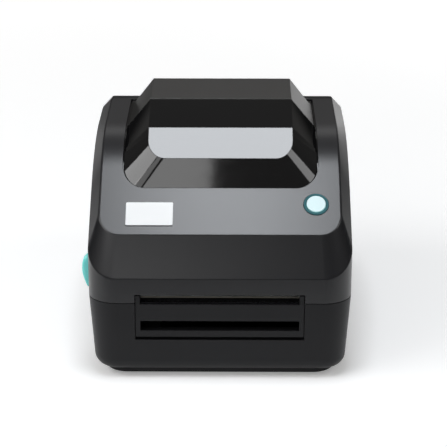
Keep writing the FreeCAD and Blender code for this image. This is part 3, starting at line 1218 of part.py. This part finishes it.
# Inner frame of the lid: cheeks for the head and the latch shaft, a ceiling and spring seats
frame_y = (f"{front} + frame_front", f"{front} + frame_back")
frame_low = "(parting_height + frame_lift)"
frame_items = [block("ceiling", ("-cheek_x - cheek_thick", "cheek_x + cheek_thick"), frame_y,
                     ("frame_ceiling", frame_top))]
spring_y = f"({front} + head_spring_back)"
head_pivot_y = f"({front} + head_pivot_back)"
for side in sides:
    frame_items.append(block("cheek", across(side, "cheek_x", "cheek_x + cheek_thick"), frame_y,
                             (frame_low, frame_top)))
    seat = f"{side} * head_spring_x"
    frame_items.append(rod("spring_post", "Z", "head_spring_radius + spigot_gap",
                           ("spring_seat", "frame_ceiling + 1"), seat, spring_y))
    frame_items.append(rod("spring_spigot", "Z", "head_spring_radius - spigot_gap",
                           ("spring_seat - spigot_length", "spring_seat + 1"), seat, spring_y))
cheek_all = ("-cheek_x - cheek_thick - 1", "cheek_x + cheek_thick + 1")
frame_holes = [rod("latch_bearing", "X", "latch_shaft_radius + shaft_gap", cheek_all, latch_y,
                   "latch_height"),
               rod("head_pin_seat", "X", "head_pin_radius", cheek_all, head_pivot_y, "head_pivot_height")]
frame_holes += posts("frame_drill", frame_spots, "frame_ceiling - 1", f"{frame_top} + 1", screw_hole)
node("lid_frame", cut("lid_frame", fuse("frame_whole", frame_items), frame_holes))
screws("frame_screws", frame_spots, "frame_ceiling", "cheek_thick + boss_radius", -1)
node("head_pins",
     group("head_pins",
           [rod("head_pin", "X", "head_pin_radius", across(side, "head_half", "cheek_x + cheek_thick"),
                                          head_pivot_y, "head_pivot_height") for side in sides]))

# Print head: ceramic strip, aluminium heat sink and the carrier that pivots in the frame
strip_low = "(parting_height + head_gap)"
sink_low = f"({strip_low} + ceramic_thick)"
sink_top = f"({sink_low} + head_height)"
strip_front = f"({platen_y} - ceramic_depth / 3)"
node("head_ceramic", block("head_ceramic", ("-platen_half", "platen_half"),
                           (strip_front, f"{strip_front} + ceramic_depth"), (strip_low, sink_low)))
sink_y = (f"{strip_front} + 1", f"{strip_front} + 1 + head_depth")
sink = block("sink", ("-head_half", "head_half"), sink_y, (sink_low, sink_top))
fins = [block("fin_gap", ("-head_half - 1", "head_half + 1"),
              (f"{sink_y[1]} - fin_thick - fin_groove", f"{sink_y[1]} - fin_thick"),
              (f"{sink_low} + fin_floor", f"{sink_top} - fin_roof"))]
fins += [block(f"end_gap_{i}", (f"{side} * head_half - end_notch", f"{side} * head_half + end_notch"),
               (f"{sink_y[0]} - 1", f"{sink_y[0]} + end_notch_depth"), (sink_low, sink_top))
         for i, side in enumerate(sides)]
node("print_head", cut("print_head", sink, fins))
carrier_top = f"({sink_top} + carrier_thick)"
carrier_x = "(cheek_x - carrier_gap)"
carrier_items = [block("carrier_plate", (f"-{carrier_x}", carrier_x),
                       (sink_y[0], f"{head_pivot_y} + boss_radius"), (sink_top, carrier_top))]
for side in sides:
    carrier_items.append(block("carrier_ear", across(side, f"{carrier_x} - carrier_thick", carrier_x),
                               (f"{head_pivot_y} - boss_radius", f"{head_pivot_y} + boss_radius"),
                               (f"{frame_low} + 1", "head_pivot_height + ear_rise")))
    carrier_items.append(rod("carrier_spigot", "Z", "head_spring_radius - spigot_gap",
                             (sink_top, f"{carrier_top} + carrier_spigot"), f"{side} * head_spring_x",
                             spring_y))
ear_hole = rod("ear_hole", "X", "head_pin_radius + shaft_gap", cheek_all, head_pivot_y, "head_pivot_height")
node("head_carrier", cut("head_carrier", fuse("carrier_whole", carrier_items), [ear_hole]))


# Springs: one unbroken wire each, from tangent arcs of a quarter turn
def tangent_arcs(start, start_way, end, end_way):
    # Two arcs that leave the start along one direction and meet the end along another.
    gap = end - start
    ways = start_way + end_way
    turn = 2 * (1 - start_way.dot(end_way))
    along = gap.dot(ways)
    reach = (math.sqrt(along ** 2 + turn * gap.dot(gap)) - along) / turn
    middle = (start + end + (start_way - end_way) * reach) * 0.5

    def arc(first, way, last, flip):
        chord = last - first
        unit = Vector(chord).normalize()
        off = (way - unit * way.dot(unit)) * flip
        bow = chord.Length / 2 * math.tan(math.acos(max(-1, min(1, way.dot(unit)))) / 2)
        top = (first + last) * 0.5 + off.normalize() * bow
        return Part.Arc(first, top, last).toShape()

    return [arc(start, start_way, middle, 1), arc(middle, end_way, end, -1)]


def coil(name, radius, wire, length, count):
    # A helix about Z from the origin, with straight ends of one wire diameter. Prints its least gap.
    quarter = 4
    rise = length / (count * quarter)

    def point(i):
        a = i * 2 * math.pi / quarter
        return Vector(radius * math.cos(a), radius * math.sin(a), i * rise)

    def way(i):
        a = i * 2 * math.pi / quarter
        return Vector(-math.sin(a), math.cos(a), rise / (radius * math.pi / 2)).normalize()

    total = count * quarter
    edges = [Part.makeLine(point(0) - way(0) * 2 * wire, point(0))]
    for i in range(total):
        edges += tangent_arcs(point(i), way(i), point(i + 1), way(i + 1))
    edges.append(Part.makeLine(point(total), point(total) + way(total) * 2 * wire))
    spine = Part.Wire(edges)
    section = Part.Wire(Part.makeCircle(wire, edges[0].Vertexes[0].Point, way(0)))
    tube = spine.makePipeShell([section], True, False)
    parts = 6
    samples = []
    for edge in edges:
        span = edge.LastParameter - edge.FirstParameter
        samples += [edge.valueAt(edge.FirstParameter + span * k / parts) for k in range(parts)]
    spread = parts * quarter
    least = min((a - b).Length for i, a in enumerate(samples) for b in samples[i + spread:])
    print(name, "least gap", round(least - 2 * wire, 2), "volume", round(tube.Volume, 2),
          "expected", round(spine.Length * math.pi * wire ** 2, 2))
    return tube


wire = size("spring_wire")
head_coils = []
coil_low = value(carrier_top) + 2 * wire
coil_length = size("spring_seat") - 2 * wire - coil_low
for side in sides:
    turnings = coil("head spring", size("head_spring_radius"), wire, coil_length,
                    int(size("head_spring_turns")))
    turnings.translate(Vector(side * size("head_spring_x"), value(spring_y), coil_low))
    head_coils.append(turnings)
node("head_springs", feature("head_springs", Part.makeCompound(head_coils)))
latch_turns = int(size("latch_spring_turns"))
latch_length = latch_turns * size("latch_spring_pitch") * wire
latch_coil = coil("latch spring", size("latch_spring_radius"), wire, latch_length, latch_turns)
latch_coil.Placement = Placement(Vector(-size("cheek_x") + 3 * wire, value(latch_y), size("latch_height")),
                                 Rotation(Vector(0, 1, 0), 90))
node("latch_spring", feature("latch_spring", latch_coil))

# Latch: a shaft across the lid, a hook at each end and the lever outside the left wall
shaft_end = f"({hook_x} + hook_thick + 1)"
lever_root = f"(-{half} - lever_gap)"
node("latch_shaft", rod("latch_shaft", "X", "latch_shaft_radius", (lever_root, shaft_end), latch_y,
                        "latch_height"))
hooks = []
for side in sides:
    span = across(side, hook_x, f"{hook_x} + hook_thick")
    eye = rod("hook_eye", "X", "latch_shaft_radius + hook_eye_wall", span, latch_y, "latch_height")
    arm = block("hook_arm", span, (hook_front, f"{hook_front} + hook_width"), ("hook_low", "latch_height"))
    nose = block("hook_nose", span, (nose_tip, hook_front), ("hook_low", "hook_low + hook_tip"))
    bore = rod("hook_bore", "X", "latch_shaft_radius",
               across(side, f"{hook_x} - 1", f"{hook_x} + hook_thick + 1"), latch_y, "latch_height")
    hooks.append(cut("hook", fuse("hook_whole", [eye, arm, nose]), [bore]))
node("latch_hooks", group("latch_hooks", hooks))


def lever():
    # A thumb piece that swells from a thin foot and rounds off at its top.
    root = value(lever_root)
    low, top, reach, wide = (size("lever_" + word) for word in ("low", "top", "reach", "half"))
    middle = value(latch_y)
    steps, fullest, foot, edge = 10, 0.6, 0.3, 0.35
    rings = []
    for step in range(steps + 1):
        share = step / steps
        if share < fullest:
            swell = foot + (1 - foot) * math.sin(math.pi / 2 * share / fullest)
        else:
            swell = foot + (1 - foot) * math.sqrt(1 - ((share - fullest) / (1 - fullest)) ** 2)
        x, y = root - reach * swell, wide * (1 + swell) / 2
        bend = edge * reach * swell
        near = [(root, -y), (x + bend, -y), (x + 0.3 * bend, 0.3 * bend - y), (x, bend - y)]
        ring = near + [(a, -b) for a, b in reversed(near)]
        z = low + share * (top - low)
        rings.append(polygon([Vector(a, middle + b, z) for a, b in ring]))
    return Part.makeLoft(rings, True, True)


node("latch_lever", feature("latch_lever", lever()))

doc.recompute()
for item in doc.Objects:
    if "Invalid" in item.State or "Error" in item.State:
        raise RuntimeError(f"{item.Name} failed: {item.State}")
os.makedirs("parts", exist_ok=True)
for name, item in nodes.items():
    if item.Shape.isNull() or not item.Shape.isValid():
        raise RuntimeError(f"{name} has no valid shape")
    print(name, len(item.Shape.Solids), round(item.Shape.Volume), item.Shape.BoundBox)
    item.Shape.exportStep(f"parts/{name}.step")
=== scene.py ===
import math

import bpy
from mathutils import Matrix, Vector


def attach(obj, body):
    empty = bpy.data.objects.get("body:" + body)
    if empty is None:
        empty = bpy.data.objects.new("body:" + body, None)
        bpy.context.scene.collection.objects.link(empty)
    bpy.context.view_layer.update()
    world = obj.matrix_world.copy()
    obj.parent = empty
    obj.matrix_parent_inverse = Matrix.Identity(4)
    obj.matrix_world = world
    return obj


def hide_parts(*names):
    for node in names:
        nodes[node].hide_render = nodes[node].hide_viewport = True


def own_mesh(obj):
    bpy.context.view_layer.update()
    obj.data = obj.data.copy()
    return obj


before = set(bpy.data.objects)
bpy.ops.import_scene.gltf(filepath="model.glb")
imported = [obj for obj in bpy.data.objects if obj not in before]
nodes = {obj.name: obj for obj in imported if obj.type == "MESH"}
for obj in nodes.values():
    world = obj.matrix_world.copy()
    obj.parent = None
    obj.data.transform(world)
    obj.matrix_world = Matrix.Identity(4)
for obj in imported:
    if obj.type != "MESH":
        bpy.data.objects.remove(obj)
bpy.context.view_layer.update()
scene = bpy.context.scene
scene.view_settings.view_transform = "Standard"
mm = 0.001
print("frame loaded with", len(nodes), "pieces")


def linear(hexCode):
    # sRGB hex to linear RGBA
    channels = [int(hexCode[i:i + 2], 16) / 255 for i in (1, 3, 5)]
    return [c / 12.92 if c <= 0.04045 else ((c + 0.055) / 1.055) ** 2.4 for c in channels] + [1.0]


def addNode(tree, kind, settings=None, inputs=None):
    # one node, its settings, and its inputs as values or as (node, output) links
    node = tree.nodes.new(kind)
    for name, value in (settings or {}).items():
        setattr(node, name, value)
    for name, value in (inputs or {}).items():
        if isinstance(value, tuple) and hasattr(value[0], "outputs"):
            tree.links.new(value[0].outputs[value[1]], node.inputs[name])
        else:
            node.inputs[name].default_value = value
    return node


def newMaterial(name):
    material = bpy.data.materials.new(name)
    material.use_nodes = True
    material.node_tree.nodes.clear()
    return material, material.node_tree


# Patterns of every finish: how fine their noise is, which part of it is used, and how edges are rounded
patternSet = {"detail": 3.0, "sharpness": 0.55, "toneDetail": 2.0, "span": (0.3, 0.7), "edgeSamples": 6}


def spread(tree, noise, middle, share):
    # a noise that runs from middle - share to middle + share
    low, high = patternSet["span"]
    return addNode(tree, "ShaderNodeMapRange", None,
                   {"Value": (noise, "Fac"), "From Min": low, "From Max": high,
                    "To Min": middle - share, "To Max": middle + share})


def finish(name, colour, shader, grainMm, grainDepth, roughSpread, toneSpread, toneMm=30.0, edgeMm=0.0):
    # a surface with a grain of a real size: tone, roughness and bump follow it
    material, tree = newMaterial(name)
    place = addNode(tree, "ShaderNodeTexCoord")
    grain = addNode(tree, "ShaderNodeTexNoise", None,
                    {"Vector": (place, "Object"), "Scale": 1 / (grainMm * mm),
                     "Detail": patternSet["detail"], "Roughness": patternSet["sharpness"]})
    clouds = addNode(tree, "ShaderNodeTexNoise", None,
                     {"Vector": (place, "Object"), "Scale": 1 / (toneMm * mm),
                      "Detail": patternSet["toneDetail"]})
    tint = addNode(tree, "ShaderNodeVectorMath", {"operation": "SCALE"},
                   {0: linear(colour)[:3], "Scale": (spread(tree, clouds, 1.0, toneSpread), "Result")})
    bump = addNode(tree, "ShaderNodeBump", None,
                   {"Strength": 1.0, "Distance": grainDepth * mm, "Height": (grain, "Fac")})
    if edgeMm:
        edge = addNode(tree, "ShaderNodeBevel", {"samples": patternSet["edgeSamples"]},
                       {"Radius": edgeMm * mm})
        tree.links.new(edge.outputs["Normal"], bump.inputs["Normal"])
    inputs = dict(shader)
    inputs["Base Color"] = (tint, "Vector")
    inputs["Roughness"] = (spread(tree, grain, shader["Roughness"], roughSpread), "Result")
    inputs["Normal"] = (bump, "Normal")
    surface = addNode(tree, "ShaderNodeBsdfPrincipled", None, inputs)
    addNode(tree, "ShaderNodeOutputMaterial", None, {"Surface": (surface, "BSDF")})
    return material


# Lid: black ABS moulded in a fine spark-eroded tool, satin, so that a softbox shows as a soft patch.
# The real grain is about 0.15 mm and wouldn't show, so it is drawn at 0.4 mm.
satinAbs = finish("satinAbs", "#17171a",
                  {"Roughness": 0.31, "IOR": 1.52, "Specular IOR Level": 0.46},
                  grainMm=0.4, grainDepth=0.003, roughSpread=0.03, toneSpread=0.05, edgeMm=0.5)
# Roof of the hood: the same ABS in a lighter colour, a painted sheen for the light that falls on the roof.
roofAbsPaintedSheen = finish("roofAbsPaintedSheen", "#232221", {"Roughness": 0.35, "IOR": 1.52, "Specular IOR Level": 0.6},
                 grainMm=0.4, grainDepth=0.003, roughSpread=0.04, toneSpread=0.06, edgeMm=0.6)
# Base: the same ABS from a coarser tool, whose grain scatters the light and leaves a dull black.
texturedAbs = finish("texturedAbs", "#1a1a1c",
                     {"Roughness": 0.43, "IOR": 1.52, "Specular IOR Level": 0.2},
                     grainMm=0.6, grainDepth=0.008, roughSpread=0.05, toneSpread=0.05, edgeMm=0.5)
# Inner mouldings: the same ABS from a plainer tool, a little duller.
innerAbs = finish("innerAbs", "#202022", {"Roughness": 0.5, "IOR": 1.52},
                  grainMm=0.5, grainDepth=0.006, roughSpread=0.04, toneSpread=0.06, edgeMm=0.4)
# Window: smoked polycarbonate from a polished tool, near black with a clear reflection.
smokedPolycarbonate = finish("smokedPolycarbonate", "#0c0c0d",
                             {"Roughness": 0.06, "IOR": 1.585, "Specular IOR Level": 0.35},
                             grainMm=6.0, grainDepth=0.004, roughSpread=0.01, toneSpread=0.03, edgeMm=0.6)
# Badge: white printed polycarbonate plate, satin.
whitePlate = finish("whitePlate", "#eef0f1", {"Roughness": 0.4, "IOR": 1.5, "Specular IOR Level": 0.35},
                    grainMm=0.5, grainDepth=0.002, roughSpread=0.02, toneSpread=0.01, edgeMm=0.2)
# Lever: teal ABS, tumbled smooth.
tealAbs = finish("tealAbs", "#84f8f4", {"Roughness": 0.34, "IOR": 1.52},
                 grainMm=0.5, grainDepth=0.004, roughSpread=0.03, toneSpread=0.03, edgeMm=0.4)
# Button ring: tinted acrylic that carries a little of the button's light.
tintedAcrylic = finish("tintedAcrylic", "#2c6167",
                       {"Roughness": 0.5, "IOR": 1.49, "Specular IOR Level": 0.15},
                       grainMm=0.5, grainDepth=0.002, roughSpread=0.02, toneSpread=0.03, edgeMm=0.2)
# Button cap: opal acrylic lit from behind by a cyan lamp.
opalAcrylic = finish("opalAcrylic", "#b6b6ba",
                     {"Roughness": 0.3, "IOR": 1.49, "Emission Color": linear("#8ff0f0"),
                      "Emission Strength": 0.3},
                     grainMm=0.5, grainDepth=0.002, roughSpread=0.02, toneSpread=0.02, edgeMm=0.3)
# Rubber: ground for the platen, moulded for the feet, dull black.
groundRubber = finish("groundRubber", "#1d1d1d", {"Roughness": 0.75, "IOR": 1.5},
                      grainMm=0.4, grainDepth=0.02, roughSpread=0.06, toneSpread=0.08, toneMm=6)
# Gears and bushes: natural acetal, waxy off-white.
naturalAcetal = finish("naturalAcetal", "#e3dfd2",
                       {"Roughness": 0.4, "IOR": 1.48, "Subsurface Weight": 0.05},
                       grainMm=0.8, grainDepth=0.003, roughSpread=0.04, toneSpread=0.03, toneMm=8)
# Steel: bright zinc plate on plates, shafts, screws and springs.
platedSteel = finish("platedSteel", "#b9babc", {"Roughness": 0.3, "Metallic": 1.0},
                     grainMm=0.6, grainDepth=0.003, roughSpread=0.06, toneSpread=0.06, toneMm=9)
# Tear bar: blackened spring steel with a cut saw edge.
blackenedSteel = finish("blackenedSteel", "#242427", {"Roughness": 0.45, "Metallic": 1.0},
                        grainMm=0.5, grainDepth=0.004, roughSpread=0.05, toneSpread=0.08, toneMm=6)
# Motor can: black electro-painted steel.
paintedSteel = finish("paintedSteel", "#26262a", {"Roughness": 0.4, "IOR": 1.5},
                      grainMm=0.5, grainDepth=0.005, roughSpread=0.04, toneSpread=0.06)
# Motor pinion: cut brass.
cutBrass = finish("cutBrass", "#d0a85c", {"Roughness": 0.28, "Metallic": 1.0},
                  grainMm=0.5, grainDepth=0.003, roughSpread=0.05, toneSpread=0.06, toneMm=5)
# Heat sink of the head: extruded aluminium, plain.
extrudedAluminium = finish("extrudedAluminium", "#c6c8cb", {"Roughness": 0.34, "Metallic": 1.0},
                           grainMm=0.6, grainDepth=0.004, roughSpread=0.06, toneSpread=0.05, toneMm=12)
# Print strip: glazed alumina.
glazedAlumina = finish("glazedAlumina", "#d9d4c8", {"Roughness": 0.18, "IOR": 1.6},
                       grainMm=1.0, grainDepth=0.002, roughSpread=0.02, toneSpread=0.02)
# Circuit boards: glass-fibre laminate under green solder mask.
solderMask = finish("solderMask", "#14532f", {"Roughness": 0.35, "IOR": 1.5},
                    grainMm=0.9, grainDepth=0.006, roughSpread=0.05, toneSpread=0.12, toneMm=4)

dressed = {
    satinAbs: ("lid_shell",),
    # hood roof: the lid's ABS in a lighter colour, a painted sheen
    roofAbsPaintedSheen: ("hood_roof",),
    texturedAbs: ("base_shell", "bottom_plate", "front_bezel"),
    smokedPolycarbonate: ("hood_window",),
    whitePlate: ("badge_plate",),
    tealAbs: ("latch_lever",),
    tintedAcrylic: ("button_ring",),
    opalAcrylic: ("feed_button",),
    innerAbs: ("media_tray", "lid_frame", "roll_guide_left", "roll_guide_right", "guide_hub_left",
               "guide_hub_right", "power_switch", "power_rocker", "cover_switch", "gap_sensor", "dc_jack",
               "board_parts"),
    groundRubber: ("rubber_feet", "platen_rubber"),
    naturalAcetal: ("platen_gear", "idler_gear", "guide_pinion", "platen_bushes"),
    blackenedSteel: ("tear_bar",),
    platedSteel: ("gear_plate", "platen_plate", "latch_shaft", "latch_hooks", "latch_strikes",
                  "platen_shaft", "motor_shaft", "idler_pin", "hinge_pins", "head_pins", "guide_pin",
                  "head_carrier", "usb_socket", "bottom_screws", "plate_screws", "tray_screws",
                  "board_screws", "frame_screws", "head_springs", "latch_spring"),
    paintedSteel: ("stepper_motor",),
    cutBrass: ("motor_pinion",),
    extrudedAluminium: ("print_head",),
    glazedAlumina: ("head_ceramic",),
    solderMask: ("main_board", "button_board"),
}
# every CAD piece takes one finish
for material, names in dressed.items():
    for name in names:
        nodes[name].data.materials.clear()
        nodes[name].data.materials.append(material)
print("materials on", sum(len(names) for names in dressed.values()), "pieces")

# Head springs: the same coils, which seat in the lid; the copy rides with the lid and the original piece is
# hidden
headSprings = bpy.data.objects.new("headSprings", nodes["head_springs"].data.copy())
scene.collection.objects.link(headSprings)
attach(headSprings, "lid")
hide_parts("head_springs")
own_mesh(headSprings)

# Floor: pale matt board with a painted pool of light that reaches behind the printer, and painted grey
# shade beyond it, which begins nearest in front.
# It glows a little where it is seen, straight on or in gloss, so that the ground is white and keeps
# its shadow.
floorSet = {"half": 4.0, "colour": "#f6f6f6", "far": "#a0a0a0", "pool": (0.0, 0.7, 0.0),
            "white": 0.9, "grey": 1.05, "glow": (0.25, 0.66), "glowSpan": (0.2, 1.2)}
floorMesh = bpy.data.meshes.new("floor")
reach = floorSet["half"]
floorMesh.from_pydata([(-reach, -reach, 0), (reach, -reach, 0), (reach, reach, 0), (-reach, reach, 0)], [],
                      [(0, 1, 2, 3)])
floor = bpy.data.objects.new("floor", floorMesh)
scene.collection.objects.link(floor)
floorFinish, tree = newMaterial("paleBoardPaintedPool")
place = addNode(tree, "ShaderNodeTexCoord")
# painted pool of light: the board's colour fades from pale to a painted grey shade with distance from the
# pool's centre
away = addNode(tree, "ShaderNodeVectorMath", {"operation": "DISTANCE"},
               {0: (place, "Object"), 1: floorSet["pool"]})
fall = addNode(tree, "ShaderNodeMapRange", {"interpolation_type": "SMOOTHSTEP"},
               {"Value": (away, "Value"), "From Min": floorSet["grey"], "From Max": floorSet["white"]})
# inputs 6 and 7 and output 2 of this node are its colours
tone = addNode(tree, "ShaderNodeMix", {"data_type": "RGBA"},
               {"Factor": (fall, "Result"), 6: linear(floorSet["far"]), 7: linear(floorSet["colour"])})
path = addNode(tree, "ShaderNodeLightPath")
gloss = addNode(tree, "ShaderNodeMath", {"operation": "MAXIMUM"},
                {0: (path, "Is Glossy Ray"), 1: (path, "Is Transmission Ray")})
seen = addNode(tree, "ShaderNodeMath", {"operation": "MAXIMUM"},
               {0: (path, "Is Camera Ray"), 1: (gloss, "Value")})
reachOut = addNode(tree, "ShaderNodeVectorMath", {"operation": "LENGTH"}, {0: (place, "Object")})
lift = addNode(tree, "ShaderNodeMapRange", None,
               {"Value": (reachOut, "Value"),
                "From Min": floorSet["glowSpan"][0], "From Max": floorSet["glowSpan"][1],
                "To Min": floorSet["glow"][0], "To Max": floorSet["glow"][1]})
lit = addNode(tree, "ShaderNodeMath", {"operation": "MULTIPLY"},
              {0: (seen, "Value"), 1: (fall, "Result")})
strength = addNode(tree, "ShaderNodeMath", {"operation": "MULTIPLY"},
                   {0: (lit, "Value"), 1: (lift, "Result")})
matt = addNode(tree, "ShaderNodeBsdfDiffuse", None, {"Color": (tone, 2)})
glow = addNode(tree, "ShaderNodeEmission", None, {"Strength": (strength, "Value")})
both = addNode(tree, "ShaderNodeAddShader", None, {0: (matt, "BSDF"), 1: (glow, "Emission")})
addNode(tree, "ShaderNodeOutputMaterial", None, {"Surface": (both, "Shader")})
floorMesh.materials.append(floorFinish)
print("floor laid")

# Studio: a softbox overhead, small ones in front on the left, one high at each side, a fill and a strip
# behind, and a dim room that is dark near the floor. A lamp's level is the brightness of its face.
studio = {
    "softbox": {"at": (0.0, -0.18, 1.27), "aim": (0, -0.18, 0), "size": (0.3, 0.46), "level": 15.6,
                "colour": "#f6faff"},
    "frontLeft": {"at": (-0.195, -1.3, 0.66), "aim": (0, -0.06, 0.13), "size": (0.34, 0.2), "level": 4.2},
    "highLeft": {"at": (-0.80, -0.43, 0.85), "aim": (-0.05, -0.06, 0.14), "size": (0.8, 0.3), "level": 6.4},
    "highRight": {"at": (0.79, -0.39, 0.87), "aim": (0.05, -0.06, 0.14), "size": (0.36, 0.3), "level": 4.4},
    "midLeft": {"at": (-0.55, -0.93, 0.79), "aim": (-0.05, -0.06, 0.14), "size": (0.4, 0.2), "level": 2.6},
    "backFill": {"at": (0.0, 1.15, 1.2), "aim": (0, 0.05, 0.1), "size": (0.9, 0.4), "level": 0.9},
    "backRight": {"at": (0.56, 1.15, 0.2), "aim": (0, 0, 0.15), "size": (0.3, 0.3), "level": 1.5},
}
room = {"low": 0.012, "high": 0.2, "darkBelow": 0.16, "fullAbove": 0.3, "colour": "#fffdf9"}
world = bpy.data.worlds.new("studio")
world.use_nodes = True
tree = world.node_tree
tree.nodes.clear()
place = addNode(tree, "ShaderNodeTexCoord")
along = addNode(tree, "ShaderNodeSeparateXYZ", None, {"Vector": (place, "Generated")})
rise = addNode(tree, "ShaderNodeMapRange", {"interpolation_type": "SMOOTHSTEP"},
               {"Value": (along, "Z"), "From Min": room["darkBelow"], "From Max": room["fullAbove"],
                "To Min": room["low"], "To Max": room["high"]})
air = addNode(tree, "ShaderNodeBackground", None,
              {"Color": linear(room["colour"]), "Strength": (rise, "Result")})
addNode(tree, "ShaderNodeOutputWorld", None, {"Surface": (air, "Background")})
scene.world = world
for name, lamp in studio.items():
    data = bpy.data.lights.new(name, "AREA")
    data.shape = "RECTANGLE"
    data.size, data.size_y = lamp["size"]
    data.energy = lamp["level"] * math.pi * data.size * data.size_y
    data.color = linear(lamp.get("colour", "#ffffff"))[:3]
    light = bpy.data.objects.new(name, data)
    light.location = lamp["at"]
    light.rotation_euler = (Vector(lamp["aim"]) - Vector(lamp["at"])).to_track_quat("-Z", "Y").to_euler()
    scene.collection.objects.link(light)
print("studio lit")

# Camera: front view from above, a touch to the right
cameraSet = {"aim": (0.0018, -0.017, 0.0808), "pitch": 19.9, "yaw": 0.46, "away": 1.15,
             "lens": 127.6, "sensor": 36}
pitch, yaw = math.radians(cameraSet["pitch"]), math.radians(cameraSet["yaw"])
aim = Vector(cameraSet["aim"])
ray = Vector((math.sin(yaw) * math.cos(pitch), -math.cos(yaw) * math.cos(pitch), math.sin(pitch)))
cameraData = bpy.data.cameras.new("camera")
cameraData.lens = cameraSet["lens"]
cameraData.sensor_width = cameraSet["sensor"]
camera = bpy.data.objects.new("camera", cameraData)
camera.location = aim + ray * cameraSet["away"]
camera.rotation_euler = (-ray).to_track_quat("-Z", "Y").to_euler()
scene.collection.objects.link(camera)
scene.camera = camera
